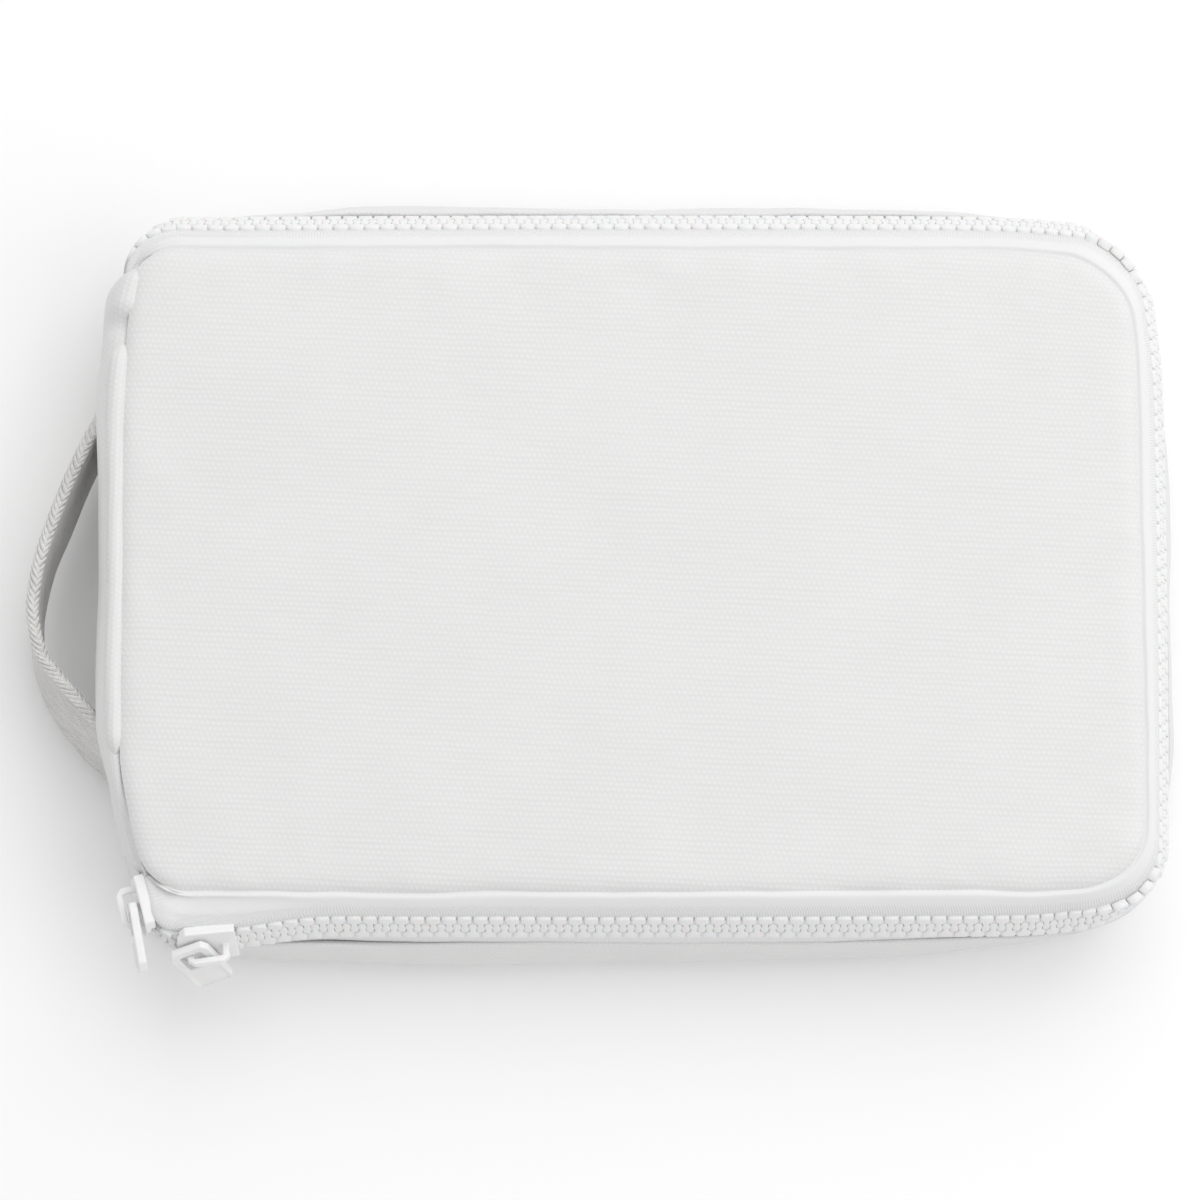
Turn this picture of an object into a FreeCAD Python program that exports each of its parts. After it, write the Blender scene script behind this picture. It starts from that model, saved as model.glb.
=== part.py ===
"""Prayer book in a zip-round canvas cover, in millimetres.

The case lies flat on its back: +Z is up out of the front cover, the spine with its carrying handle is on -X,
the zip runs round the other three sides, and the origin is the middle of the outer back face.
"""

import FreeCAD
import Part
import Sketcher
import math
import os

from FreeCAD import Matrix, Placement, Vector

PARTS_FOLDER = "parts"

DIMENSIONS = {
    # whole case
    "case_thick": 32.0,
    "canvas": 1.0,
    "padding": 2.9,
    "lining": 0.5,
    "layer_gap": 0.05,
    # front and back panels: how far they reach from the origin
    "panel_left": 92.0,
    "front_right": 91.5,
    "front_half": 58.5,
    "back_right": 95.0,
    "back_half": 65.5,
    "spine_corner": 6.0,
    "open_corner": 11.0,
    "padding_inset": 6.5,
    "lining_inset": 6.7,
    # side wall, which flares outwards towards the back
    "foot_level": 1.2,
    "foot_left": 92.2,
    "foot_right": 95.4,
    "foot_half": 66.2,
    "belly_level": 6.5,
    "belly_left": 93.6,
    "belly_right": 98.2,
    "belly_half": 69.6,
    "wall_top": 17.2,
    "wall_left": 93.2,
    "wall_right": 96.8,
    "wall_half": 66.7,
    "wall_spine_corner": 11.0,
    "wall_open_corner": 16.5,
    # zip: its tapes, then the centre line of its chain
    "tape": 0.6,
    "back_tape_low": 17.3,
    "back_tape_high": 21.2,
    "back_tape_half": 65.9,
    "front_tape_low": 27.5,
    "front_tape_low_half": 62.3,
    "front_tape_high": 30.9,
    "chain_level": 24.4,
    "chain_left": 91.8,
    "chain_right": 95.0,
    "chain_half": 63.9,
    "chain_spine_corner": 9.5,
    "chain_open_corner": 14.0,
    "chain_knee": 60.0,
    "chain_dip": 2.9,
    "chain_near_left": 86.85,
    "chain_near_corner": 5.0,
    "chain_near_sweep": 76.0,
    "chain_tail": 8.5,
    "chain_slope": 31.0,
    "tooth_pitch": 2.85,
    "tooth_root": 3.0,
    "tooth_shoulder": 1.4,
    "tooth_reach": 1.3,
    "tooth_thick": 2.3,
    "tooth_base": 2.3,
    "tooth_neck": 0.9,
    "tooth_head": 1.4,
    "stop_length": 2.0,
    "slider_a_stop": 5.6,
    "slider_b_stop": 4.65,
    # slider and pull
    "slider_length": 10.5,
    "slider_nose_half": 4.7,
    "slider_tail_half": 4.1,
    "slider_outer": 2.4,
    "slider_channel": 1.4,
    "channel_half": 3.6,
    "slider_slit": 0.5,
    "divider_width": 1.6,
    "divider_length": 2.8,
    "crown_opening": 2.4,
    "crown_bar": 1.2,
    "crown_inner": 2.6,
    "crown_outer": 3.8,
    "crown_half": 0.65,
    "notch_long": 6.2,
    "notch_wide": 5.2,
    "notch_deep": 5.0,
    "pull_half": 3.8,
    "pull_tip": 11.8,
    "pull_thick": 1.5,
    "pull_web": 0.9,
    "pull_rim": 0.8,
    "eye_half": 2.2,
    "eye_far": 5.0,
    "pull_a_swing": 4.0,
    "pull_b_turn": 70.0,
    "pull_b_set_back": 1.7,
    # spine
    "spine_half": 52.0,
    "spine_edge": 92.6,
    "spine_low": 1.6,
    "spine_bulge": 4.5,
    "spine_clear": 0.2,
    "spine_gap_clear": 2.4,
    # handle
    "strap_low": 4.0,
    "strap_width": 18.5,
    "strap_thick": 2.4,
    "handle_reach": 110.6,
    "handle_foot": 100.2,
    "handle_half": 31.5,
    "handle_shift": 5.5,
    "anchor_length": 8.0,
    "anchor_thick": 1.5,
    "anchor_gap": 0.6,
    "tack_width": 1.6,
    "tack_proud": 0.4,
    # book
    "board": 2.0,
    "board_left": 87.5,
    "board_right": 83.0,
    "board_half": 51.4,
    "board_corner": 2.0,
    "book_square": 3.0,
    "endpaper": 0.25,
    "pocket_left": 40.0,
    "pocket_right": 88.0,
    "pocket_half": 51.8,
    "ribbon_width": 5.0,
    "ribbon_thick": 0.3,
    "ribbon_left": 30.0,
    "headband_width": 3.0,
    "headband_thick": 1.6,
}

doc = FreeCAD.newDocument("PrayerBook")
sheet = doc.addObject("Spreadsheet::Sheet", "Sheet")
for row, (alias, number) in enumerate(DIMENSIONS.items(), start=1):
    sheet.set(f"A{row}", alias)
    sheet.set(f"B{row}", str(number))
    sheet.setAlias(f"B{row}", alias)
doc.recompute()


class Size:
    """A length held both as a spreadsheet expression and as its number."""

    def __init__(self, text, value):
        self.text = text
        self.value = value

    def __add__(self, other):
        other = as_size(other)
        return Size(f"({self.text} + {other.text})", self.value + other.value)

    def __sub__(self, other):
        other = as_size(other)
        return Size(f"({self.text} - {other.text})", self.value - other.value)

    def __mul__(self, factor):
        return Size(f"({self.text} * {factor})", self.value * factor)


def as_size(number):
    return number if isinstance(number, Size) else Size(f"{number:g}", number)


def dim(alias):
    return Size(f"Sheet.{alias}", DIMENSIONS[alias])


# ---------------------------------------------------------------- levels of the layers, from the back face up
TOP = dim("case_thick")
MIDDLE = TOP * 0.5
PADDING_FLOOR = dim("canvas") + dim("layer_gap")
LINING_FLOOR = PADDING_FLOOR + dim("padding") + dim("layer_gap")
BOARD_FLOOR = LINING_FLOOR + dim("lining") + dim("layer_gap") * 2
POCKET_FLOOR = BOARD_FLOOR + dim("board") + dim("layer_gap") * 4
ENDPAPER_FLOOR = POCKET_FLOOR + dim("lining") + dim("layer_gap") * 2
LEAVES_FLOOR = ENDPAPER_FLOOR + dim("endpaper") + dim("layer_gap") * 2


def mirrored_floor(floor, height):
    """The floor of a layer that hangs as far below the front face as its twin stands above the back face."""
    return TOP - floor - height


# ---------------------------------------------------------------- small builders
def new_body(label):
    body = doc.addObject("PartDesign::Body", label)
    body.Label = label
    return body


def plane_of(body, role):
    return next(f for f in body.Origin.OriginFeatures if f.Role == role)


def new_sketch(body, name, role="XY_Plane", offset=None):
    """A sketch on one of the body's own origin planes, lifted off it by offset."""
    sketch = body.newObject("Sketcher::SketchObject", name)
    sketch.AttachmentSupport = [(plane_of(body, role), "")]
    sketch.MapMode = "FlatFace"
    if offset is not None:
        sketch.setExpression("AttachmentOffset.Base.z", offset.text)
    return sketch


def hold(sketch, name, kind, *where, size):
    """Adds a dimension whose value is bound to the spreadsheet."""
    sketch.addConstraint(Sketcher.Constraint(kind, *where, size.value))
    index = sketch.ConstraintCount - 1
    sketch.renameConstraint(index, name)
    sketch.setExpression(f"Constraints.{name}", size.text)


def polygon(sketch, points):
    """A closed outline of straight lines; each corner is held by two bound distances from the origin."""
    corners = [(as_size(x), as_size(y)) for x, y in points]
    flat = [Vector(x.value, y.value, 0) for x, y in corners]
    for k, start in enumerate(flat):
        sketch.addGeometry(Part.LineSegment(start, flat[(k + 1) % len(flat)]), False)
    for k in range(len(flat)):
        sketch.addConstraint(Sketcher.Constraint("Coincident", k, 2, (k + 1) % len(flat), 1))
    for k, (x, y) in enumerate(corners):
        for axis, size in (("DistanceX", x), ("DistanceY", y)):
            name = f"{axis[-1].lower()}_{k}"
            if size.value < 0:
                hold(sketch, name, axis, k, 1, -1, 1, size=size * -1)
            else:
                hold(sketch, name, axis, -1, 1, k, 1, size=size)


def rounded_outline(sketch, left, right, half, r_spine, r_open):
    """A rectangle across the X axis with one radius at its spine corners and another at its open ones."""
    a, b, h = -left.value, right.value, half.value
    s, o = r_spine.value, r_open.value
    up = Vector(0, 0, 1)
    quarter = math.pi / 2

    def arc(x, y, r, quadrant):
        circle = Part.Circle(Vector(x, y, 0), up, r)
        return Part.ArcOfCircle(circle, quadrant * quarter, (quadrant + 1) * quarter)

    shapes = [
        Part.LineSegment(Vector(a + s, -h, 0), Vector(b - o, -h, 0)),
        arc(b - o, -h + o, o, 3),
        Part.LineSegment(Vector(b, -h + o, 0), Vector(b, h - o, 0)),
        arc(b - o, h - o, o, 0),
        Part.LineSegment(Vector(b - o, h, 0), Vector(a + s, h, 0)),
        arc(a + s, h - s, s, 1),
        Part.LineSegment(Vector(a, h - s, 0), Vector(a, -h + s, 0)),
        arc(a + s, -h + s, s, 2),
    ]
    sketch.addGeometry(shapes, False)
    for k in range(8):
        sketch.addConstraint(Sketcher.Constraint("Tangent", k, 2, (k + 1) % 8, 1))
    for line, way in ((0, "Horizontal"), (2, "Vertical"), (4, "Horizontal"), (6, "Vertical")):
        sketch.addConstraint(Sketcher.Constraint(way, line))
    hold(sketch, "bottom", "DistanceY", 0, 1, -1, 1, size=half)
    hold(sketch, "top", "DistanceY", -1, 1, 4, 1, size=half)
    hold(sketch, "right", "DistanceX", -1, 1, 2, 1, size=right)
    hold(sketch, "left", "DistanceX", 6, 1, -1, 1, size=left)
    for corner, radius in ((1, r_open), (3, r_open), (5, r_spine), (7, r_spine)):
        hold(sketch, f"radius_{corner}", "Radius", corner, size=radius)


def pad(body, sketch, height, name="Pad"):
    feature = body.newObject("PartDesign::Pad", name)
    feature.Profile = sketch
    feature.setExpression("Length", as_size(height).text)
    return feature


def plate(label, left, right, half, r_spine, r_open, floor, height):
    """A flat rounded plate."""
    body = new_body(label)
    sketch = new_sketch(body, "Outline", offset=as_size(floor))
    rounded_outline(sketch, left, right, half, r_spine, r_open)
    pad(body, sketch, height)
    return body


def block(name, low, high):
    """A box between two corners given as sizes, used as a cutting tool or as a plain piece."""
    box = doc.addObject("Part::Box", name)
    low = [as_size(v) for v in low]
    high = [as_size(v) for v in high]
    for side, a, b in zip(("Length", "Width", "Height"), low, high):
        box.setExpression(side, (b - a).text)
    for axis, a in zip("xyz", low):
        box.setExpression(f"Placement.Base.{axis}", a.text)
    return box


def cut(label, base, *tools):
    """base with every tool taken out of it."""
    result = base
    for k, tool in enumerate(tools):
        step = doc.addObject("Part::Cut", f"{label}_cut{k}")
        step.Base = result
        step.Tool = tool
        result = step
    result.Label = label
    return result


def ring(label, outlines, thickness):
    """A thin sloping wall, lofted through outlines (left, right, half, r_spine, r_open, level)."""
    body = new_body(label)
    for kind, inset in (("Additive", as_size(0.0)), ("Subtractive", thickness)):
        sections = []
        for k, (left, right, half, r_spine, r_open, level) in enumerate(outlines):
            sketch = new_sketch(body, f"{kind}{k}", offset=level)
            rounded_outline(
                sketch, left - inset, right - inset, half - inset, r_spine - inset, r_open - inset
            )
            sections.append(sketch)
        loft = body.newObject(f"PartDesign::{kind}Loft", f"{kind}Wall")
        loft.Profile = sections[0]
        loft.Sections = sections[1:]
        loft.Ruled = True
    return body


def frame_at(origin, x_axis, z_axis):
    """The placement that carries local X and Z onto the given directions."""
    z = Vector(z_axis).normalize()
    x = Vector(x_axis)
    x = (x - z * x.dot(z)).normalize()
    y = z.cross(x)
    return Placement(
        Matrix(x.x, y.x, z.x, origin.x, x.y, y.y, z.y, origin.y, x.z, y.z, z.z, origin.z, 0, 0, 0, 1)
    )


# ---------------------------------------------------------------- the path of the zip
def chain_pieces():
    """The zip's centre line in plan, from the far spine corner round the opening side to the near one.

    Arcs are (kind, centre, radius, start angle, sweep) and turn clockwise; lines are (kind, start, end).
    Before the near spine corner the chain sags outwards; the corner is tight, and the last few millimetres
    lean towards the spine.
    """
    d = DIMENSIONS
    left, right, half = d["chain_left"], d["chain_right"], d["chain_half"]
    s, o, n = d["chain_spine_corner"], d["chain_open_corner"], d["chain_near_corner"]
    quarter, sweep = math.pi / 2, math.radians(d["chain_near_sweep"])
    knee = Vector(-d["chain_knee"], -half, 0)
    sag = Vector(-d["chain_near_left"] + n, -half - d["chain_dip"], 0)
    near = sag + Vector(0, n, 0)
    last = -quarter - sweep
    turn_end = near + Vector(math.cos(last), math.sin(last), 0) * n
    tail_end = turn_end + Vector(math.sin(last), -math.cos(last), 0) * d["chain_tail"]
    return [
        ("arc", Vector(-left + s, half - s, 0), s, math.pi, quarter),
        ("line", Vector(-left + s, half, 0), Vector(right - o, half, 0)),
        ("arc", Vector(right - o, half - o, 0), o, quarter, quarter),
        ("line", Vector(right, half - o, 0), Vector(right, -half + o, 0)),
        ("arc", Vector(right - o, -half + o, 0), o, 0.0, quarter),
        ("line", Vector(right - o, -half, 0), knee),
        ("line", knee, sag),
        ("arc", near, n, -quarter, sweep),
        ("line", turn_end, tail_end),
    ]


def piece_length(piece):
    if piece[0] == "line":
        return (piece[2] - piece[1]).Length
    return piece[2] * piece[4]


def chain_length():
    return sum(piece_length(p) for p in chain_pieces())


def chain_at(distance):
    """The zip's placement at a distance along it: X back along it, Z outwards, Y across it to the front."""
    for piece in chain_pieces():
        length = piece_length(piece)
        if distance <= length:
            break
        distance -= length
    if piece[0] == "line":
        along = (piece[2] - piece[1]).normalize()
        point = piece[1] + along * distance
    else:
        angle = piece[3] - distance / piece[2]
        point = piece[1] + Vector(math.cos(angle), math.sin(angle), 0) * piece[2]
        along = Vector(math.sin(angle), -math.cos(angle), 0)
    return tilted(point, along)


def tilted(point, along):
    """The chain leans back most on the long sides, less at the opening side and hardly at the spine."""
    outward = Vector(0, 0, 1).cross(along)
    side_share = 0.68 if outward.x > 0 else 0.26
    share = outward.y**2 + side_share * outward.x**2
    lean = math.radians(DIMENSIONS["chain_slope"] * share)
    level = DIMENSIONS["chain_level"]
    up = Vector(0, 0, 1)
    return frame_at(point + up * level, along * -1, outward * math.cos(lean) + up * math.sin(lean))


# ---------------------------------------------------------------- case: panels and what lies under them
def panel_sizes(side, inset):
    """The outline of a flat layer of the front or back cover, drawn in from the panel's own edge by inset."""
    right, half = dim(f"{side}_right"), dim(f"{side}_half")
    r_spine, r_open = dim("spine_corner"), dim("open_corner")
    inset = as_size(inset)
    return dim("panel_left") - inset, right - inset, half - inset, r_spine - inset * 0.5, r_open - inset * 0.5


def cover_layers(side):
    """The canvas panel of one cover, its padding and its lining."""
    layers = [
        ("panel", as_size(0.0), dim("canvas"), as_size(0.0)),
        ("padding", PADDING_FLOOR, dim("padding"), dim("padding_inset")),
        ("lining", LINING_FLOOR, dim("lining"), dim("lining_inset")),
    ]
    for name, floor, height, inset in layers:
        if side == "front":
            floor = mirrored_floor(floor, height)
        # the back panel is wider than the front one, so its inner layers use the front's outline
        outline = panel_sizes(side if name == "panel" else "front", inset)
        plate(f"{side}_{name}", *outline, floor, height)


def pocket(side):
    """The sleeve that holds a board of the book: a sheet over the board's opening half."""
    floor, height = POCKET_FLOOR, dim("lining")
    if side == "front":
        floor = mirrored_floor(floor, height)
    r_small = as_size(1.5)
    return plate(f"{side}_pocket", dim("pocket_left"), dim("pocket_right"), dim("pocket_half"),
                 r_small, r_small, floor, height)


def without_spine(label, wall):
    """A wall with its spine side taken out between the two corners."""
    half = dim("spine_half") + dim("spine_gap_clear")
    outside, inside = dim("spine_edge") * -1 - 8, dim("spine_edge") * -1 + 12
    gap = block(f"{label}_gap", (outside, half * -1, -1), (inside, half, TOP + 1))
    return cut(label, wall, gap)


def side_gusset():
    r_spine, r_open = dim("wall_spine_corner"), dim("wall_open_corner")
    outlines = [
        (dim(f"{name}_left"), dim(f"{name}_right"), dim(f"{name}_half"), r_spine, r_open, level)
        for name, level in (
            ("foot", dim("foot_level")), ("belly", dim("belly_level")), ("wall", dim("wall_top"))
        )
    ]
    return without_spine("side_gusset", ring("gusset_wall", outlines, dim("canvas")))


def zip_tape(side):
    """One tape of the zip, from the cover's edge to the roots of the teeth, cut away inside the sliders."""
    s, o = dim("chain_spine_corner"), dim("chain_open_corner")
    if side == "back":
        outlines = [
            (dim("wall_left") - 0.2, dim("wall_right") - 0.2, dim("wall_half") - 0.2, s, o + 2,
             dim("back_tape_low")),
            (dim("chain_left") + 0.4, dim("chain_right") + 1.1, dim("back_tape_half"), s, o + 1,
             dim("back_tape_high")),
        ]
    else:
        outlines = [
            (dim("chain_left") - 0.4, dim("chain_right") - 1.1, dim("front_tape_low_half"), s - 1, o - 1,
             dim("front_tape_low")),
            (dim("panel_left") - 0.3, dim("front_right") + 0.2, dim("front_half") + 0.2, s - 3, o - 3,
             dim("front_tape_high")),
        ]
    wall = without_spine(f"{side}_tape_open", ring(f"{side}_tape_wall", outlines, dim("tape")))
    reach = Vector(*(DIMENSIONS[f"notch_{way}"] for way in ("long", "wide", "deep")))
    notches = [
        placed_block(f"{side}_{name}_notch", reach * -1, reach, slider_place(name)) for name in SLIDERS
    ]
    return cut(f"{side}_zip_tape", wall, *notches)


# ---------------------------------------------------------------- zip: teeth, stops, sliders and pulls
SLIDERS = ("slider_a", "slider_b")


def slider_distance(name):
    """Slider A waits past the near spine corner, by the chain's end; slider B before that corner."""
    if name == "slider_a":
        return chain_length() - DIMENSIONS["slider_a_stop"]
    return sum(piece_length(p) for p in chain_pieces()[:7]) - DIMENSIONS["slider_b_stop"]


def slider_place(name):
    return chain_at(slider_distance(name))


def placed_block(name, low, high, place):
    """A box between two corners given in the frame of place."""
    box = doc.addObject("Part::Box", name)
    size = high - low
    box.Length, box.Width, box.Height = size.x, size.y, size.z
    box.Placement = place * Placement(low, FreeCAD.Rotation())
    return box


def tooth_solid(side):
    """One moulded tooth at the origin: its root on the tape's side, its head past the centre line."""
    d = DIMENSIONS
    half_outline = [
        (d["tooth_base"] / 2, d["tooth_root"]),
        (d["tooth_base"] / 2, d["tooth_shoulder"]),
        (d["tooth_neck"] / 2, d["tooth_shoulder"]),
        (d["tooth_neck"] / 2, 0.15),
        (d["tooth_head"] / 2, -0.15),
        (d["tooth_head"] / 2, -0.9),
        (d["tooth_neck"] / 2, -d["tooth_reach"]),
    ]
    way = 1 if side == "front" else -1
    outline = half_outline + [(-x, y) for x, y in reversed(half_outline)]
    points = [Vector(x, way * y, -d["tooth_thick"] / 2) for x, y in outline]
    face = Part.Face(Part.makePolygon(points + points[:1]))
    return face.extrude(Vector(0, 0, d["tooth_thick"]))


def inside_slider(distance):
    clear = DIMENSIONS["slider_length"] / 2 + 1.6
    return any(abs(distance - slider_distance(name)) < clear for name in SLIDERS)


def zip_teeth(side):
    """One row of teeth; the back row sits half a pitch further on, so that the rows mesh."""
    pitch = DIMENSIONS["tooth_pitch"]
    margin = DIMENSIONS["stop_length"] + 1.5
    start = margin + (0 if side == "front" else pitch / 2)
    count = int((chain_length() - start - margin) / pitch) + 1
    tooth = tooth_solid(side)
    row = []
    for k in range(count):
        distance = start + k * pitch
        if not inside_slider(distance):
            row.append(tooth.transformed(chain_at(distance).toMatrix()))
    teeth = doc.addObject("Part::Feature", f"{side}_zip_teeth")
    teeth.Shape = Part.makeCompound(row)
    return teeth


def zip_stops(side):
    """The moulded blocks that end the row at both spine corners; only the far one stands clear of a slider."""
    d = DIMENSIONS
    way = 1 if side == "front" else -1
    low, high = sorted((way * 0.3, way * d["tooth_root"]))
    stops = doc.addObject("Part::Feature", f"{side}_zip_stop")
    solid = Part.makeBox(d["stop_length"], high - low, d["tooth_thick"],
                         Vector(-d["stop_length"] / 2, low, -d["tooth_thick"] / 2))
    stops.Shape = solid.transformed(chain_at(d["stop_length"] / 2).toMatrix())
    return stops


def slider_body(name):
    """A channel for the two rows, slit at its flanks for the tapes, a divider at its nose and a crown on top."""
    nose = 1 if name == "slider_a" else -1
    body = new_body(name)
    half_long = dim("slider_length") * 0.5
    outline = new_sketch(body, "Outline", offset=dim("slider_outer") * -1)
    step = half_long - 1.6
    polygon(outline, [
        (half_long * -nose, dim("slider_tail_half") * -1),
        (step * nose, dim("slider_nose_half") * -1),
        (half_long * nose, dim("slider_nose_half") * -1 + 1.4),
        (half_long * nose, dim("slider_nose_half") - 1.4),
        (step * nose, dim("slider_nose_half")),
        (half_long * -nose, dim("slider_tail_half")),
    ])
    pad(body, outline, dim("slider_outer") * 2, "Shell")

    channel = new_sketch(body, "ChannelSection", "YZ_Plane")
    reach, slit = dim("slider_nose_half") + 1, dim("slider_slit")
    tall, wide = dim("slider_channel"), dim("channel_half")
    polygon(channel, [
        (wide * -1, tall * -1), (wide, tall * -1), (wide, slit * -1), (reach, slit * -1), (reach, slit),
        (wide, slit), (wide, tall), (wide * -1, tall), (wide * -1, slit), (reach * -1, slit),
        (reach * -1, slit * -1), (wide * -1, slit * -1),
    ])
    through = body.newObject("PartDesign::Pocket", "Channel")
    through.Profile = channel
    through.Type = 1
    through.Midplane = True

    divider = new_sketch(body, "DividerOutline", offset=tall * -1)
    back = half_long - dim("divider_length")
    side = dim("divider_width") * 0.5
    polygon(divider, [
        (back * nose, -0.2), (half_long * nose - 0.4 * nose, side * -1),
        (half_long * nose - 0.4 * nose, side),
        (back * nose, 0.2),
    ])
    pad(body, divider, tall * 2, "Divider")

    crown = new_sketch(body, "CrownOutline", "XZ_Plane")
    base, roof = dim("slider_outer") - 0.2, dim("slider_outer") + dim("crown_opening")
    top = roof + dim("crown_bar")
    inner, outer = dim("crown_inner"), dim("crown_outer")
    polygon(crown, [
        (outer * -1, base), (inner * -1, base), (inner * -1, roof), (inner, roof), (inner, base),
        (outer, base),
        (outer, top - 1), (outer - 1.2, top), (outer * -1 + 1.2, top), (outer * -1, top - 1),
    ])
    arch = pad(body, crown, dim("crown_half") * 2, "Crown")
    arch.Midplane = True
    body.Placement = slider_place(name)
    return body


def pull_tab(name, place):
    """A flat tab along +X with an eye at its near end, hung on a crown by its place."""
    body = new_body(name)
    outline = new_sketch(body, "Outline", offset=dim("pull_thick") * -0.5)
    half, tip, chamfer = dim("pull_half"), dim("pull_tip"), as_size(1.5)
    back = dim("pull_thick") * 0.5
    polygon(outline, [
        (back * -1, half * -1 + 0.8), (back, half * -1), (tip - chamfer, half * -1),
        (tip, half * -1 + chamfer),
        (tip, half - chamfer), (tip - chamfer, half), (back, half), (back * -1, half - 0.8),
    ])
    pad(body, outline, dim("pull_thick"), "Tab")
    cuts = [
        ("Eye", -1.0, back, dim("eye_far"), dim("eye_half")),
        ("Panel", 0.5, dim("eye_far") + dim("pull_rim") * 1.5, tip - dim("pull_rim"), half - dim("pull_rim")),
    ]
    for cut_name, level, near, far, side in cuts:
        floor = dim("pull_web") * 0.5 if cut_name == "Panel" else dim("pull_thick") * level
        sketch = new_sketch(body, f"{cut_name}Outline", offset=floor)
        polygon(sketch, [(near, side * -1), (far, side * -1), (far, side), (near, side)])
        pocket_cut = body.newObject("PartDesign::Pocket", cut_name)
        pocket_cut.Profile = sketch
        pocket_cut.Type = 1
        pocket_cut.Reversed = True
    body.Placement = place
    return body


def crown_middle(slider):
    """The middle of the opening under a slider's crown."""
    d = DIMENSIONS
    return slider_place(slider) * Placement(
        Vector(0, 0, d["slider_outer"] + d["crown_opening"] / 2), FreeCAD.Rotation()
    )


def pull_a_place():
    """Pull A lies along its slider, lifted a little, with its end bar through the crown."""
    lift = FreeCAD.Rotation(Vector(0, 1, 0), -DIMENSIONS["pull_a_swing"])
    return crown_middle("slider_a") * Placement(Vector(), lift)


def pull_b_place():
    """Pull B hangs sideways, its eye round the crown's nose post and one side of the eye under the crown."""
    d = DIMENSIONS
    turn = FreeCAD.Rotation(Vector(0, 0, 1), -d["pull_b_turn"])
    way = turn.multVec(Vector(1, 0, 0))
    post = Vector(-(d["crown_inner"] + d["crown_outer"]) / 2 + 0.2, 0, 0)
    return crown_middle("slider_b") * Placement(post - way * d["pull_b_set_back"], turn)


# ---------------------------------------------------------------- spine and handle
def bow_radius(chord, rise):
    """The radius of an arc over a chord, from how far it rises above it."""
    number = (chord.value**2 / 4 + rise.value**2) / (2 * rise.value)
    return Size(f"(({chord.text}) ^ 2 / 4 + ({rise.text}) ^ 2) / (2 * ({rise.text}))", number)


def bowed_outline(sketch, *edges):
    """A closed band between two edges that bow towards -X, each (reach of ends, low end, high end, rise)."""
    for reach, low, high, rise in edges:
        top, bottom = Vector(-reach.value, high.value, 0), Vector(-reach.value, low.value, 0)
        if rise is None:
            sketch.addGeometry(Part.LineSegment(top, bottom), False)
        else:
            middle = Vector(-reach.value - rise.value, (low.value + high.value) / 2, 0)
            sketch.addGeometry(Part.Arc(top, middle, bottom), False)
    (first_reach, first_low, first_high, _), (last_reach, last_low, last_high, _) = edges
    ends = ((first_high, last_high), (first_low, last_low))
    for k, (first, last) in enumerate(ends):
        start, end = Vector(-first_reach.value, first.value, 0), Vector(-last_reach.value, last.value, 0)
        sketch.addGeometry(Part.LineSegment(start, end), False)
        sketch.addConstraint(Sketcher.Constraint("Coincident", 0, k + 1, k + 2, 1))
        sketch.addConstraint(Sketcher.Constraint("Coincident", 1, k + 1, k + 2, 2))
    for edge, (reach, low, high, rise) in enumerate(edges):
        for point, level in ((1, high), (2, low)):
            hold(sketch, f"reach_{edge}_{point}", "DistanceX", edge, point, -1, 1, size=reach)
            if level.value < 0:
                hold(sketch, f"level_{edge}_{point}", "DistanceY", edge, point, -1, 1, size=level * -1)
            else:
                hold(sketch, f"level_{edge}_{point}", "DistanceY", -1, 1, edge, point, size=level)
        if rise is not None:
            hold(sketch, f"radius_{edge}", "Radius", edge, size=bow_radius(high - low, rise))


def bulged_slab(label, inner_reach, rise, low, high, thickness, half):
    """A panel across the spine whose section bows outwards; thickness None makes it solid to its chord."""
    body = new_body(label)
    sketch = new_sketch(body, "Section", "XZ_Plane")
    inner = (inner_reach, low, high, rise)
    if thickness is None:
        bowed_outline(sketch, inner, (inner_reach - 0.01, low, high, None))
    else:
        bowed_outline(sketch, (inner_reach + thickness, low, high, rise), inner)
    slab = pad(body, sketch, half * 2)
    slab.Midplane = True
    return body


def spine_layers():
    edge = dim("spine_edge")
    low, high = dim("spine_low"), TOP - dim("spine_low")
    bulged_slab(
        "spine_panel", edge, dim("spine_bulge") - dim("canvas"), low, high, dim("canvas"), dim("spine_half")
    )
    bulged_slab("spine_padding", edge + dim("spine_clear"), dim("spine_bulge") - dim("canvas") - 0.6,
                low + 1.2, high - 1.2, None, dim("spine_half") - 2)
    lining = plate_box("spine_lining", (edge * -1 + 0.2, (dim("spine_half") - 1) * -1, low + 1),
                       (edge * -1 + 0.2 + dim("lining"), dim("spine_half") - 1, high - 1))
    return lining


def plate_box(label, low, high):
    box = block(label, low, high)
    box.Label = label
    return box


def handle_strap():
    """A bowed strip of webbing whose ends stand just clear of the spine between the sewn-down ends."""
    half, foot, reach, thick = (dim(k) for k in ("handle_half", "handle_foot", "handle_reach", "strap_thick"))
    shift = dim("handle_shift") * -1
    outer_foot, inner_half, inner_reach = foot + thick * 0.5, half - thick, reach - thick
    body = new_body("handle_strap")
    sketch = new_sketch(body, "Section", offset=dim("strap_low"))
    bowed_outline(
        sketch,
        (outer_foot, shift - half, shift + half, reach - outer_foot),
        (foot, shift - inner_half, shift + inner_half, inner_reach - foot),
    )
    pad(body, sketch, dim("strap_width"))
    return body


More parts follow.
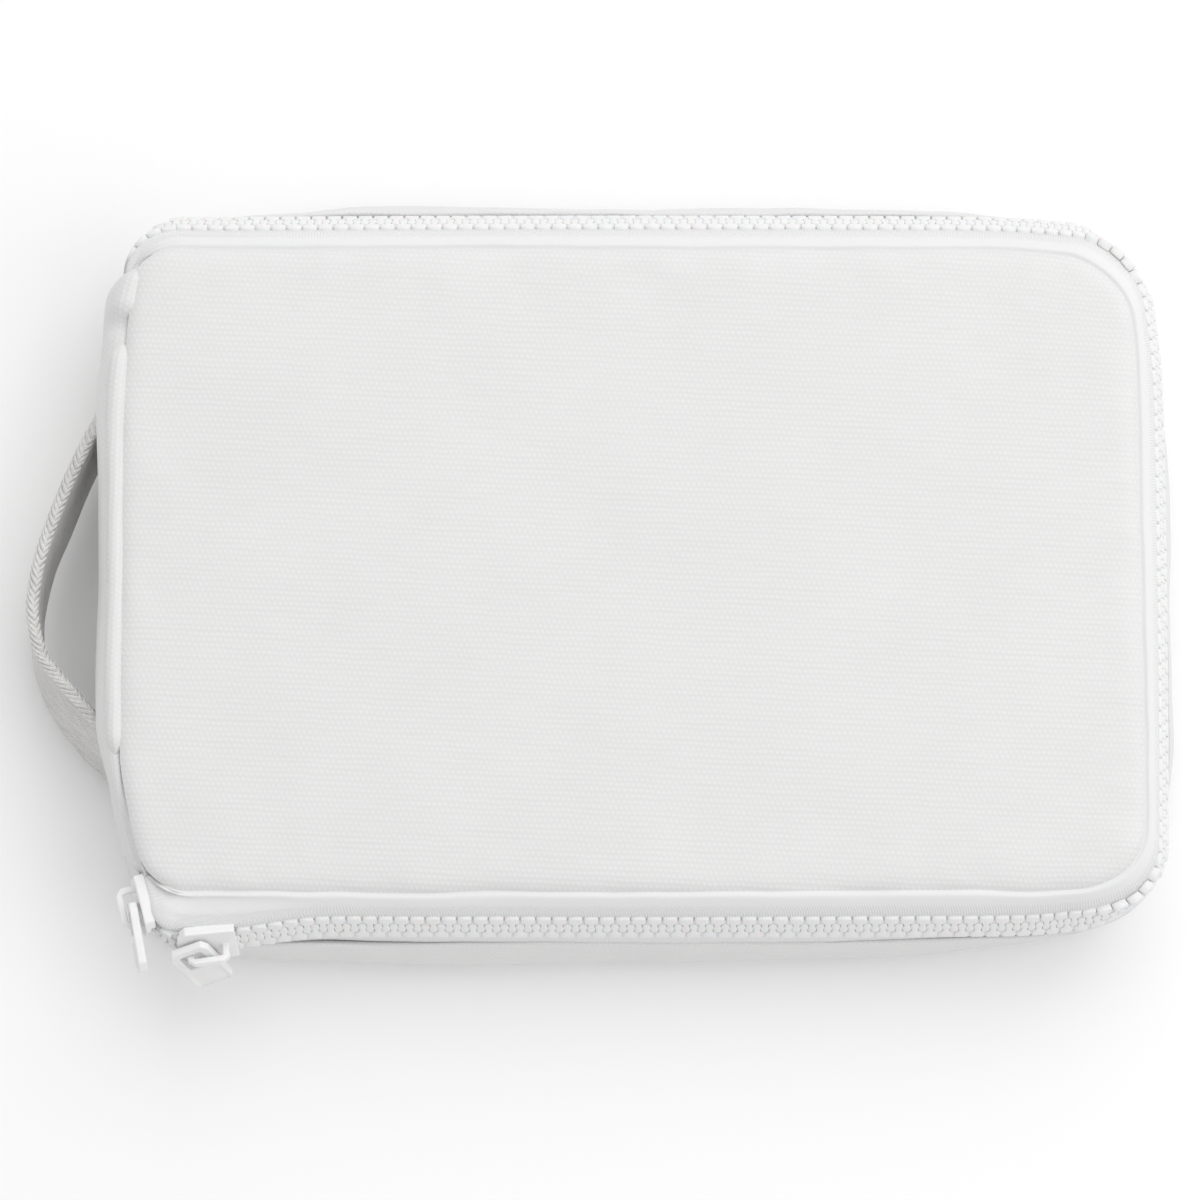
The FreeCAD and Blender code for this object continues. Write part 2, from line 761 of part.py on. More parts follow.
def handle_ends():
    """The two ends of the webbing, sewn flat on the spine, with a bar of dense stitches across each."""
    shift, half = dim("handle_shift") * -1, dim("handle_half")
    surface = dim("spine_edge") + dim("spine_bulge") + dim("layer_gap")
    outer = surface + dim("anchor_thick")
    low, high = dim("strap_low"), dim("strap_low") + dim("strap_width")
    gap, length = dim("anchor_gap"), dim("anchor_length")
    ends, tacks = [], []
    for name, side in (("far", 1), ("near", -1)):
        near_y = shift + (half + gap) * side
        far_y = shift + (half + gap + length) * side
        y0, y1 = (near_y, far_y) if side > 0 else (far_y, near_y)
        ends.append(block(f"end_{name}", (outer * -1, y0, low), (surface * -1, y1, high)))
        middle = (y0 + y1) * 0.5
        width = dim("tack_width") * 0.5
        face = outer + dim("layer_gap")
        tacks.append(block(f"tack_{name}", ((face + dim("tack_proud")) * -1, middle - width, low + 1.5),
                           (face * -1, middle + width, high - 1.5)))
    group("handle_ends", ends)
    group("handle_bar_tacks", tacks)


def group(label, pieces):
    """Several separate solids that share one node."""
    compound = doc.addObject("Part::Compound", label)
    compound.Links = pieces
    compound.Label = label
    return compound


# ---------------------------------------------------------------- the book
def book():
    left, right, half = dim("board_left"), dim("board_right"), dim("board_half")
    corner, square = dim("board_corner"), dim("book_square")
    for side in ("front", "back"):
        floors = []
        for floor, height in ((BOARD_FLOOR, dim("board")), (ENDPAPER_FLOOR, dim("endpaper"))):
            floors.append(mirrored_floor(floor, height) if side == "front" else floor)
        plate(f"book_{side}_board", left, right, half, corner, corner, floors[0], dim("board"))
        plate(f"{side}_endpaper", left - 1, right - square, half - square, corner, corner, floors[1],
              dim("endpaper"))
    spine_x = left * -1 - 1
    plate_box("book_spine", (spine_x - dim("board"), half * -1, BOARD_FLOOR),
              (spine_x, half, TOP - BOARD_FLOOR))
    text_left, text_half = left - 1.5, half - square
    leaves_top = TOP - LEAVES_FLOOR
    ribbon = dim("ribbon_thick")
    lower_top = MIDDLE - ribbon * 0.5 - 0.05
    corner_small = as_size(0.6)
    outline = (text_left, right - square, text_half, corner_small, dim("board_corner"))
    plate("lower_leaves", *outline, LEAVES_FLOOR, lower_top - LEAVES_FLOOR)
    upper_floor = MIDDLE + ribbon * 0.5 + 0.05
    plate("upper_leaves", *outline, upper_floor, leaves_top - upper_floor)
    ribbon_left = dim("ribbon_left") * -1
    plate_box("ribbon_marker", (ribbon_left, (text_half + 1) * -1, MIDDLE - ribbon * 0.5),
              (ribbon_left + dim("ribbon_width"), text_half - 1, MIDDLE + ribbon * 0.5))
    bands = []
    for name, side in (("head", 1), ("tail", -1)):
        y0 = (text_half + 0.1) * side
        y1 = (text_half + 0.1 + dim("headband_thick")) * side
        if side < 0:
            y0, y1 = y1, y0
        bands.append(block(f"{name}_band_solid", (text_left * -1, y0, LEAVES_FLOOR + 0.5),
                           (text_left * -1 + dim("headband_width"), y1, leaves_top - 0.5)))
    for band, label in zip(bands, ("headband", "tailband")):
        band.Label = label


# ---------------------------------------------------------------- build, check and write
def build():
    """Makes every piece and returns their labels."""
    for side in ("front", "back"):
        cover_layers(side)
        pocket(side)
        zip_tape(side)
        zip_teeth(side)
        zip_stops(side)
    side_gusset()
    for name in SLIDERS:
        slider_body(name)
    pull_tab("pull_a", pull_a_place())
    pull_tab("pull_b", pull_b_place())
    spine_layers()
    handle_strap()
    handle_ends()
    book()


NODES = (
    "front_panel", "front_padding", "front_lining", "front_pocket", "front_zip_tape", "front_zip_teeth",
    "front_zip_stop", "back_panel", "back_padding", "back_lining", "back_pocket", "back_zip_tape",
    "back_zip_teeth", "back_zip_stop", "side_gusset", "slider_a", "slider_b", "pull_a", "pull_b",
    "spine_panel", "spine_padding", "spine_lining", "handle_strap", "handle_ends", "handle_bar_tacks",
    "book_front_board", "book_back_board", "book_spine", "front_endpaper", "back_endpaper",
    "lower_leaves", "upper_leaves", "ribbon_marker", "headband", "tailband",
)


def write_parts():
    doc.recompute()
    for item in doc.Objects:
        bad = [state for state in item.State if state in ("Invalid", "Error")]
        if bad:
            raise RuntimeError(f"{item.Name}: {bad}")
    os.makedirs(PARTS_FOLDER, exist_ok=True)
    for label in NODES:
        (item,) = [o for o in doc.Objects if o.Label == label and hasattr(o, "Shape")]
        shape = item.Shape
        if shape.isNull() or not shape.isValid() or not shape.Solids:
            raise RuntimeError(f"{label}: its shape is empty or not valid")
        shape.exportStep(os.path.join(PARTS_FOLDER, f"{label}.step"))
        box = shape.BoundBox
        print(f"{label:18s} solids {len(shape.Solids):4d}  volume {shape.Volume:10.1f}  "
              f"x {box.XMin:7.2f} {box.XMax:7.2f}  y {box.YMin:7.2f} {box.YMax:7.2f}  "
              f"z {box.ZMin:6.2f} {box.ZMax:6.2f}")


build()
write_parts()
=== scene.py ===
"""Looks of a prayer book in a white zip-round canvas cover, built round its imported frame.

Everything is in metres in the frame's own axes: +Z out of the front cover, -X the spine with its handle,
+Y the head of the book. The case is soft, so its cloth is drawn as strips between rails: closed curves that
follow the zip round the far, opening and near sides of the case.
"""

import math
import random

import bmesh
import bpy
from mathutils import Matrix, Vector, noise


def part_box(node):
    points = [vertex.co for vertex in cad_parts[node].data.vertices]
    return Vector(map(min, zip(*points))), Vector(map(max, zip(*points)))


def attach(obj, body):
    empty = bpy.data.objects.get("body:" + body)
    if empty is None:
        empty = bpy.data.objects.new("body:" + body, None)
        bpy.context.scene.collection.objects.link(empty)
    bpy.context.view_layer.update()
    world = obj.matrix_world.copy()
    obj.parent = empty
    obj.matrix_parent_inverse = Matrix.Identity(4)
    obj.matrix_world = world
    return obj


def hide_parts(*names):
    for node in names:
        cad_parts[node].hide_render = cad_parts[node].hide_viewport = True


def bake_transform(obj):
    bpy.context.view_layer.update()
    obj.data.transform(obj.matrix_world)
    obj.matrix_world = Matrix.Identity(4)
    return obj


MM = 0.001

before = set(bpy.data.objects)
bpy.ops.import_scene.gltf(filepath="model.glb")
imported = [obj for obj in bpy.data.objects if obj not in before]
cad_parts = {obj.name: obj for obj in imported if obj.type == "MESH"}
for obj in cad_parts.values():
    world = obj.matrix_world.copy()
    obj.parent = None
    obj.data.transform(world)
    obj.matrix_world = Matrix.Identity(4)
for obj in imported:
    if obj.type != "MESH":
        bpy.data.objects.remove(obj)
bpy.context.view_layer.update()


# ---------------------------------------------------------------- sizes read from the frame
def node_box(name):
    low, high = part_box(name)
    return Vector(low), Vector(high)


PANEL_LOW, PANEL_HIGH = node_box("front_panel")
BACK_LOW, _ = node_box("back_panel")
STRAP_LOW, STRAP_HIGH = node_box("handle_strap")

# the zip's centre line: half-way between the two tapes
CHAIN_LEVEL = 24.4 * MM
CHAIN_LEFT = 91.8 * MM
CHAIN_RIGHT = 95.0 * MM
CHAIN_HALF = 63.9 * MM
CHAIN_R_SPINE = 9.5 * MM
CHAIN_R_OPEN = 14.0 * MM
CHAIN_SLOPE = math.radians(31)
TOOTH_PITCH = 2.85 * MM
CORD_OFFSET = 1.6 * MM
# before the near spine corner the zip sags outwards; the corner is tight and the last part leans to the spine
NEAR_DIP = 2.9 * MM
NEAR_INSET = 4.95 * MM
NEAR_TIGHTER = 4.5 * MM
NEAR_SWEEP = math.radians(76)
NEAR_TAIL = 8.5 * MM

random.seed(7)
noise.seed_set(7)


# ---------------------------------------------------------------- rails round the case
def smooth_step(value, low, high):
    share = min(max((value - low) / (high - low), 0.0), 1.0)
    return share * share * (3 - 2 * share)


class Rail:
    """A curve round three sides of the case: eight pieces, arc and line in turn, at one level."""

    fullness = 2.0
    dip = NEAR_DIP

    def __init__(self, left, right, half, level, r_spine=CHAIN_R_SPINE, r_open=CHAIN_R_OPEN, bulge=0.0,
                 tight=True):
        self.left, self.right, self.half, self.level = left, right, half, level
        self.r_spine, self.r_open, self.bulge, self.tight = r_spine, r_open, bulge, tight
        near_left, r_near, sweep, self.tail = left, r_spine, math.pi / 2, 1.5 * MM
        if tight:
            near_left, r_near = left - NEAR_INSET, r_spine - NEAR_TIGHTER
            sweep, self.tail = NEAR_SWEEP, NEAR_TAIL
        self.sag = self.dip if tight else 0.0
        self.near_x = -near_left + r_near
        self.corners = {
            0: (-left + r_spine, half - r_spine, r_spine, math.pi, math.pi / 2),
            2: (right - r_open, half - r_open, r_open, math.pi / 2, math.pi / 2),
            4: (right - r_open, -half + r_open, r_open, 0.0, math.pi / 2),
            6: (self.near_x, -half - self.sag + r_near, r_near, -math.pi / 2, sweep),
        }

    def at(self, station):
        """Point and outward direction at a station, whose whole part is the piece and the rest the place."""
        piece = min(int(station), 7)
        part = station - piece
        if piece == 7:
            start, out = self.on_corner(6, 1.0)
            return start + Vector((out.y, -out.x, 0)) * self.tail * part, out
        if piece in self.corners:
            return self.on_corner(piece, part)
        right, half, o = self.right, self.half, self.r_open
        lines = {
            1: ((-self.left + self.r_spine, half), (right - o, half), (0, 1)),
            3: ((right, half - o), (right, -half + o), (1, 0)),
            5: ((right - o, -half), (self.near_x, -half), (0, -1)),
        }
        start, end, out = (Vector((*p, 0)) for p in lines[piece])
        swell = self.bulge * (1 - abs(2 * part - 1)**self.fullness)
        point = start.lerp(end, part) + out * swell + Vector((0, 0, self.level))
        if piece == 5:
            point.y -= self.sag * smooth_step(-point.x, 54 * MM, 80 * MM)
        return point, out

    def on_corner(self, piece, part):
        x, y, r, start, sweep = self.corners[piece]
        angle = start - part * sweep
        out = Vector((math.cos(angle), math.sin(angle), 0))
        return Vector((x, y, self.level)) + out * r, out

    def moved(self, outward, up):
        """A rail alongside this one."""
        return Rail(self.left + outward, self.right + outward, self.half + outward, self.level + up,
                    self.r_spine + outward, self.r_open + outward, self.bulge, self.tight)


CHAIN = Rail(CHAIN_LEFT, CHAIN_RIGHT, CHAIN_HALF, CHAIN_LEVEL, bulge=0.3 * MM)


def piece_length(rail, piece):
    points = [rail.at(piece + 0.9999 * k / 40)[0] for k in range(41)]
    return sum((b - a).length for a, b in zip(points, points[1:]))


PIECE_LENGTHS = [piece_length(CHAIN, piece) for piece in range(8)]
CHAIN_TOTAL = sum(PIECE_LENGTHS)


def even_stations(spacing):
    """Stations about spacing apart along the chain, closer round the corners."""
    stations = []
    for piece, length in enumerate(PIECE_LENGTHS):
        steps = max(int(length / spacing) * (2 if piece in (0, 2, 4, 6) else 1), 4)
        stations += [piece + k / steps for k in range(steps)]
    return stations + [8.0]


def chain_lean(out):
    """The chain leans back most on the long sides and stands upright round the corners."""
    side_share = 0.68 if out.x > 0 else 0.26
    corner = (2 * out.x * out.y)**2 * (0.75 if out.x > 0 else 0.25)
    return CHAIN_SLOPE * (out.y**2 + side_share * out.x**2 - corner)


def chain_axes(out):
    """Along the chain, across it towards the front, and outwards from it."""
    lean = chain_lean(out)
    normal = out * math.cos(lean) + Vector((0, 0, math.sin(lean)))
    along = Vector((0, 0, 1)).cross(out)
    return along, normal.cross(along), normal


def chain_frame(distance):
    """The place on the chain at a distance from its far end: along it, across to the front, and outwards."""
    for piece, length in enumerate(PIECE_LENGTHS):
        if distance <= length:
            break
        distance -= length
    point, out = CHAIN.at(piece + min(distance / length, 0.9999))
    x, y, z = chain_axes(out)
    return Matrix((
        (x.x, y.x, z.x, point.x), (x.y, y.y, z.y, point.y), (x.z, y.z, z.z, point.z), (0, 0, 0, 1)
    ))


def sway(point, size, wavelength, seed=0.0):
    """A smooth wandering offset that neighbouring pieces share, because it depends on the place alone."""
    where = point / wavelength + Vector((seed, seed * 0.7, 0))
    return noise.noise_vector(where) * size


# ---------------------------------------------------------------- meshes
def added(name, data):
    """A new object in the scene."""
    obj = bpy.data.objects.new(name, data)
    bpy.context.scene.collection.objects.link(obj)
    return obj


def own_copy(node, name):
    """A copy of a CAD piece, in the frame's own axes."""
    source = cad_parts[node]
    mesh = source.data.copy()
    mesh.name = name
    mesh.transform(source.matrix_world)
    return mesh


def smooth_rail_points(controls, count):
    """Points on a smooth curve through the control points, evenly spread by control."""
    ends = [controls[0] * 2 - controls[1]] + list(controls) + [controls[-1] * 2 - controls[-2]]
    points = []
    spans = len(controls) - 1
    for k in range(count):
        t = k / (count - 1) * spans
        span = min(int(t), spans - 1)
        u = t - span
        a, b, c, d = ends[span:span + 4]
        points.append((b * 2 + (c - a) * u + (a * 2 - b * 5 + c * 4 - d) * u**2
                       + (b * 3 - a - c * 3 + d) * u**3) * 0.5)
    return points


def grid_object(name, rows):
    """A smooth surface through rows of points, with a UV map that measures metres along and across it."""
    count, across = len(rows), len(rows[0])
    mesh = bpy.data.meshes.new(name)
    vertices = [tuple(p) for row in rows for p in row]
    faces, uvs = [], []
    along = [0.0]
    middle = across // 2
    for k in range(1, count):
        along.append(along[-1] + (Vector(rows[k][middle]) - Vector(rows[k - 1][middle])).length)
    over = [0.0]
    for k in range(1, across):
        over.append(over[-1] + (Vector(rows[count // 2][k]) - Vector(rows[count // 2][k - 1])).length)
    for i in range(count - 1):
        for j in range(across - 1):
            faces.append((i * across + j, (i + 1) * across + j, (i + 1) * across + j + 1, i * across + j + 1))
            uvs += [(along[i], over[j]), (along[i + 1], over[j]),
                    (along[i + 1], over[j + 1]), (along[i], over[j + 1])]
    mesh.from_pydata(vertices, [], faces)
    layer = mesh.uv_layers.new(name="UVMap")
    layer.data.foreach_set("uv", [c for uv in uvs for c in uv])
    mesh.polygons.foreach_set("use_smooth", [True] * len(mesh.polygons))
    return added(name, mesh)


def thicken(obj, thickness, offset=-1.0):
    modifier = obj.modifiers.new("Cloth", "SOLIDIFY")
    modifier.thickness = thickness
    modifier.offset = offset


def dress(obj, material, body=None, replaces=()):
    """Gives a piece its material, its body and the CAD nodes that it stands for."""
    obj.data.materials.clear()
    obj.data.materials.append(material)
    if body:
        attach(obj, body)
    if replaces:
        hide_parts(*replaces)
    return obj


# ---------------------------------------------------------------- materials
class Nodes:
    """A short way of writing a procedural material."""

    def __init__(self, name):
        self.material = bpy.data.materials.new(name)
        self.material.use_nodes = True
        self.tree = self.material.node_tree
        self.shader = self.tree.nodes["Principled BSDF"]
        self.uv = self.tree.nodes.new("ShaderNodeTexCoord").outputs["UV"]
        self.place = self.tree.nodes.new("ShaderNodeTexCoord").outputs["Object"]

    def node(self, kind, **settings):
        made = self.tree.nodes.new(kind)
        for key, value in settings.items():
            setattr(made, key, value)
        return made

    def link(self, source, target):
        if isinstance(source, (int, float)):
            target.default_value = source
        else:
            self.tree.links.new(source, target)

    def math(self, operation, first, second=0.0):
        made = self.node("ShaderNodeMath", operation=operation)
        self.link(first, made.inputs[0])
        self.link(second, made.inputs[1])
        return made.outputs[0]

    def scaled(self, vector, x, y, z=1.0, turn=0.0):
        made = self.node("ShaderNodeMapping")
        made.inputs["Scale"].default_value = (x, y, z)
        made.inputs["Rotation"].default_value = (0, 0, turn)
        self.tree.links.new(vector, made.inputs["Vector"])
        return made.outputs[0]

    def noise(self, vector, scale, detail=2.0, rough=0.5):
        made = self.node("ShaderNodeTexNoise")
        self.tree.links.new(vector, made.inputs["Vector"])
        made.inputs["Scale"].default_value = scale
        made.inputs["Detail"].default_value = detail
        made.inputs["Roughness"].default_value = rough
        return made.outputs["Fac"]

    def split(self, vector):
        made = self.node("ShaderNodeSeparateXYZ")
        self.tree.links.new(vector, made.inputs[0])
        return made.outputs[0], made.outputs[1]

    def wave(self, value, period):
        """A sine of the value, whose period is given in metres."""
        return self.math("SINE", self.math("MULTIPLY", value, 2 * math.pi / period))

    def blend(self, factor, low, high):
        """A colour between two, by a factor from 0 to 1."""
        made = self.node("ShaderNodeMix", data_type="RGBA", clamp_factor=True)
        factor_socket, first_colour, second_colour, mixed_colour = 0, 6, 7, 2
        self.link(factor, made.inputs[factor_socket])
        made.inputs[first_colour].default_value = (*low, 1)
        made.inputs[second_colour].default_value = (*high, 1)
        return made.outputs[mixed_colour]

    def bump(self, height, distance):
        made = self.node("ShaderNodeBump")
        made.inputs["Distance"].default_value = distance
        self.tree.links.new(height, made.inputs["Height"])
        return made.outputs["Normal"]

    def finish(self, colour, roughness, normal=None, **inputs):
        self.tree.links.new(colour, self.shader.inputs["Base Color"])
        self.link(roughness, self.shader.inputs["Roughness"])
        if normal is not None:
            self.tree.links.new(normal, self.shader.inputs["Normal"])
        for key, value in inputs.items():
            self.shader.inputs[key.replace("_", " ")].default_value = value
        return self.material


def plain_weave(name, light, dark, warp, weft, crimp, turn=0.0, fuzz=0.15):
    """A plain weave: warp threads rise over weft threads in a chequer, with slubs, fuzz and uneven shade; the
    threads' height also sets the colour, painting shade into the hollows of the weave.
    """
    n = Nodes(name)
    wobble = n.math("MULTIPLY", n.math("SUBTRACT", n.noise(n.uv, 260.0, 1.0), 0.5), warp * 0.9)
    cloth = n.scaled(n.uv, 1, 1, turn=turn)
    u, v = n.split(cloth)
    u = n.math("ADD", u, wobble)
    v = n.math("ADD", v, n.math("MULTIPLY", n.math("SUBTRACT", n.noise(n.uv, 190.0, 1.0), 0.5), weft * 0.6))
    chequer = n.math("MULTIPLY", n.wave(u, warp * 2), n.wave(v, weft * 2))
    rows = n.wave(n.math("ADD", v, weft / 4), weft)
    slub = n.noise(n.scaled(cloth, 120, 1500), 1.0, 3.0)
    height = n.math("ADD", n.math("MULTIPLY", chequer, 0.20), n.math("MULTIPLY", rows, -0.14))
    height = n.math("ADD", height, n.math("MULTIPLY", slub, 0.55))
    height = n.math("ADD", height, n.math("MULTIPLY", n.noise(n.uv, 2600.0, 3.0, 0.7), fuzz))
    cloudy = n.noise(n.uv, 38.0, 4.0, 0.6)
    # painted shade: the colour follows the threads' height, so the hollows between raised threads are painted
    # darker; the cloudy part is the cloth's uneven tone
    thread = n.math("ADD", n.math("MULTIPLY", height, 0.75), 0.12)
    shade = n.math("ADD", n.math("MULTIPLY", thread, 0.8), n.math("MULTIPLY", cloudy, 0.35))
    colour = n.blend(shade, dark, light)
    normal = n.bump(height, crimp)
    return n.finish(colour, 0.92, normal, Sheen_Weight=0.12, Sheen_Roughness=0.6)


def zip_tape_material():
    """Knitted tape: smooth by the seam, then fine ribs straight across it up to the cord, with painted shade
    in the hollows between the ribs.
    """
    n = Nodes("zip_tape")
    u, v = n.split(n.uv)
    rib = n.wave(u, 0.5 * MM)
    row = n.wave(v, 0.8 * MM)
    weave = n.math("MULTIPLY", n.wave(u, 0.45 * MM), n.wave(v, 0.5 * MM))
    smooth_end = 3.6 * MM
    ribbed = n.math("MULTIPLY", n.math("SUBTRACT", v, smooth_end), 1 / (0.3 * MM))
    ribbed = n.math("MINIMUM", n.math("MAXIMUM", ribbed, 0.12), 1.0)
    height = n.math("MULTIPLY", n.math("ADD", rib, n.math("MULTIPLY", row, 0.08)), ribbed)
    height = n.math("ADD", height, n.math("MULTIPLY", weave, 0.2))
    height = n.math("ADD", height, n.math("MULTIPLY", n.noise(n.uv, 2200.0, 2.0), 0.5))
    # painted shade: the colour follows the ribs' height, so the hollows between ribs and stitches are painted
    # darker
    shade = n.math("ADD", n.math("MULTIPLY", height, 0.16), 0.6)
    colour = n.blend(shade, (0.70, 0.70, 0.702), (0.83, 0.83, 0.833))
    return n.finish(colour, 0.85, n.bump(height, 0.035 * MM), Sheen_Weight=0.15)


def webbing_material():
    """Heavy cotton webbing: chevrons of thick yarn."""
    n = Nodes("webbing")
    u, v = n.split(n.uv)
    fold = n.math("PINGPONG", v, 3.2 * MM)
    slant = n.math("ADD", u, n.math("MULTIPLY", fold, 1.2))
    yarn = n.math("MULTIPLY", n.wave(slant, 1.25 * MM), 0.5)
    cross = n.math("MULTIPLY", n.math("MULTIPLY", n.wave(u, 1.6 * MM), n.wave(v, 1.5 * MM)), 0.45)
    height = n.math("ADD", n.math("ADD", yarn, cross), n.math("MULTIPLY", n.noise(n.uv, 1800.0, 3.0), 0.5))
    cloudy = n.noise(n.uv, 90.0, 3.0)
    # painted shade: part of the colour follows the yarn's height, so the hollows of the chevrons are painted
    # darker; the cloudy part is the cotton's uneven tone
    shade = n.math("ADD", n.math("MULTIPLY", height, 0.35), n.math("MULTIPLY", cloudy, 0.8))
    colour = n.blend(shade, (0.60, 0.59, 0.57), (0.84, 0.835, 0.82))
    return n.finish(colour, 0.9, n.bump(height, 0.22 * MM), Sheen_Weight=0.15)


def moulded_material(name, light, dark, roughness):
    """Moulded plastic: faint flow marks and dust, as a cloudy change of tone over the piece."""
    n = Nodes(name)
    cloudy = n.noise(n.place, 420.0, 3.0)
    grain = n.noise(n.place, 5200.0, 2.0)
    colour = n.blend(cloudy, dark, light)
    rough = n.math("ADD", n.math("MULTIPLY", cloudy, 0.16), roughness)
    normal = n.bump(grain, 0.012 * MM)
    return n.finish(colour, rough, normal, Subsurface_Weight=0.12, Subsurface_Scale=0.6 * MM,
                    Specular_IOR_Level=0.45)


def leathercloth_material():
    """The boards of the book: grained cloth, worn paler in patches."""
    n = Nodes("book_cloth")
    cells = n.node("ShaderNodeTexVoronoi")
    cells.inputs["Scale"].default_value = 1500.0
    n.tree.links.new(n.place, cells.inputs["Vector"])
    worn = n.noise(n.place, 30.0, 5.0, 0.65)
    colour = n.blend(worn, (0.055, 0.010, 0.012), (0.105, 0.022, 0.022))
    rough = n.math("ADD", n.math("MULTIPLY", worn, 0.25), 0.4)
    return n.finish(colour, rough, n.bump(cells.outputs["Distance"], 0.06 * MM))


def leaves_material():
    """The block of leaves: fine uneven lines along its edges."""
    n = Nodes("leaves")
    lines = n.noise(n.scaled(n.place, 12, 12, 5200), 1.0, 2.0)
    stain = n.noise(n.place, 45.0, 4.0)
    shade = n.math("ADD", n.math("MULTIPLY", lines, 0.9), n.math("MULTIPLY", stain, 0.25))
    colour = n.blend(shade, (0.50, 0.44, 0.33), (0.86, 0.82, 0.70))
    return n.finish(colour, 0.88, n.bump(lines, 0.05 * MM))


def paper_material():
    n = Nodes("endpaper")
    fibres = n.noise(n.place, 900.0, 5.0, 0.7)
    cloudy = n.noise(n.place, 40.0, 3.0)
    shade = n.math("ADD", n.math("MULTIPLY", fibres, 0.5), n.math("MULTIPLY", cloudy, 0.5))
    colour = n.blend(shade, (0.62, 0.57, 0.46), (0.80, 0.76, 0.66))
    return n.finish(colour, 0.9, n.bump(fibres, 0.03 * MM))


def ribbon_material():
    n = Nodes("ribbon")
    u, v = n.split(n.uv)
    rib = n.wave(u, 0.5 * MM)
    cloudy = n.noise(n.uv, 120.0, 2.0)
    colour = n.blend(cloudy, (0.26, 0.012, 0.018), (0.38, 0.03, 0.035))
    return n.finish(colour, 0.42, n.bump(rib, 0.03 * MM), Sheen_Weight=0.3)


def banding_material():
    """Head and tail bands: two colours of thread wound in turn."""
    n = Nodes("headband")
    parts = n.node("ShaderNodeSeparateXYZ")
    n.tree.links.new(n.place, parts.inputs[0])
    height = parts.outputs[2]
    stripe = n.math("ADD", n.math("MULTIPLY", n.wave(height, 1.6 * MM), 2.0), 0.5)
    colour = n.blend(stripe, (0.74, 0.60, 0.34), (0.30, 0.03, 0.03))
    return n.finish(colour, 0.7, n.bump(n.wave(height, 0.8 * MM), 0.05 * MM))


def floor_material():
    n = Nodes("floor")
    cloudy = n.noise(n.place, 3.0, 2.0)
    colour = n.blend(cloudy, (0.93, 0.93, 0.93), (0.95, 0.95, 0.95))
    return n.finish(colour, 0.9)


WARP, WEFT = 0.5 * MM, 1.0 * MM
WEAVE_TURN = math.radians(2.5)
CANVAS = plain_weave("canvas", (0.82, 0.82, 0.817), (0.68, 0.68, 0.677), WARP, WEFT, 0.10 * MM, WEAVE_TURN)
LINING = plain_weave("lining", (0.86, 0.86, 0.85), (0.70, 0.70, 0.69), 0.3 * MM, 0.32 * MM, 0.05 * MM)
TAPE = zip_tape_material()
WEBBING = webbing_material()
TEETH = moulded_material("zip_teeth", (0.84, 0.84, 0.84), (0.78, 0.78, 0.78), 0.34)
SLIDER = moulded_material("slider_plastic", (0.86, 0.86, 0.86), (0.80, 0.80, 0.80), 0.26)
THREAD = moulded_material("thread", (0.90, 0.90, 0.89), (0.82, 0.82, 0.81), 0.55)
BOOK_CLOTH = leathercloth_material()
LEAVES = leaves_material()
ENDPAPER = paper_material()
RIBBON = ribbon_material()
HEADBAND = banding_material()


# ---------------------------------------------------------------- the case's own outlines
SEAM = Rail(93.0 * MM, PANEL_HIGH.x, PANEL_HIGH.y, PANEL_LOW.z - 1.0 * MM, 6 * MM, 12 * MM, tight=False)
COVER_TOP = PANEL_HIGH.z


def draw_in(y):
    """How far the cover's edge beside the spine draws in towards its two ends."""
    over = max(abs(y) - 30 * MM, 0.0) / (24 * MM)
    return (2.6 if y > 0 else 4.4) * over * over * MM


def bow(point):
    """The same drawing-in, fading out across the cover."""
    share = smooth_step(-point.x, 40 * MM, 90 * MM)
    return Vector((draw_in(point.y) * share, 0, 0))


# how the sewn case has slumped, in millimetres: a corner's x and y, its push outwards and the push's spread
SLUMPS = ((90, 59, -2.7, 15), (84, -64, -1.7, 9), (-90, 57, 1.0, 9))


def settle(obj):
    """Makes the open corners rounder than they were cut, and the far spine corner fuller."""
    for x, y, push, spread in SLUMPS:
        corner = Vector((x * MM, y * MM, 0))
        away = corner.normalized() * push * MM
        for vertex in obj.data.vertices:
            apart = Vector((vertex.co.x, vertex.co.y, 0)) - corner
            vertex.co += away * math.exp(-(apart.length / (spread * MM))**2)


def wander(point, size=0.45 * MM):
    """How the seams of the sewn case wander from their straight lines."""
    flat = Vector((point.x, point.y, 0))
    return sway(flat, size, 26 * MM, 3.1) + sway(flat, size * 0.5, 9 * MM, 8.4)


def edge_distance(x, y, rail):
    """How far a point lies inside a rail."""
    r = rail.r_open if x > 0 else rail.r_spine
    side = rail.right - x if x > 0 else x + rail.left
    dx, dy = side, rail.half - abs(y)
    if dx < r and dy < r:
        return r - math.hypot(r - dx, r - dy)
    return min(dx, dy)


def row_ends(y, rail):
    """Where a line of constant y enters and leaves a rail."""
    ends = []
    for reach, r in ((rail.left, rail.r_spine), (rail.right, rail.r_open)):
        depth = max(r - (rail.half - abs(y)), 0.0)
        ends.append(reach - (r - math.sqrt(max(r * r - depth * depth, 0.0))))
    return -ends[0], ends[1]


def crowded(count):
    """Numbers from 0 to 1 that crowd towards both ends, as a cosine does short of its turning points."""
    cut = 0.12
    angles = [math.pi * (cut + (1 - 2 * cut) * k / (count - 1)) for k in range(count)]
    return [0.5 - 0.5 * math.cos(angle) / math.cos(cut * math.pi) for angle in angles]


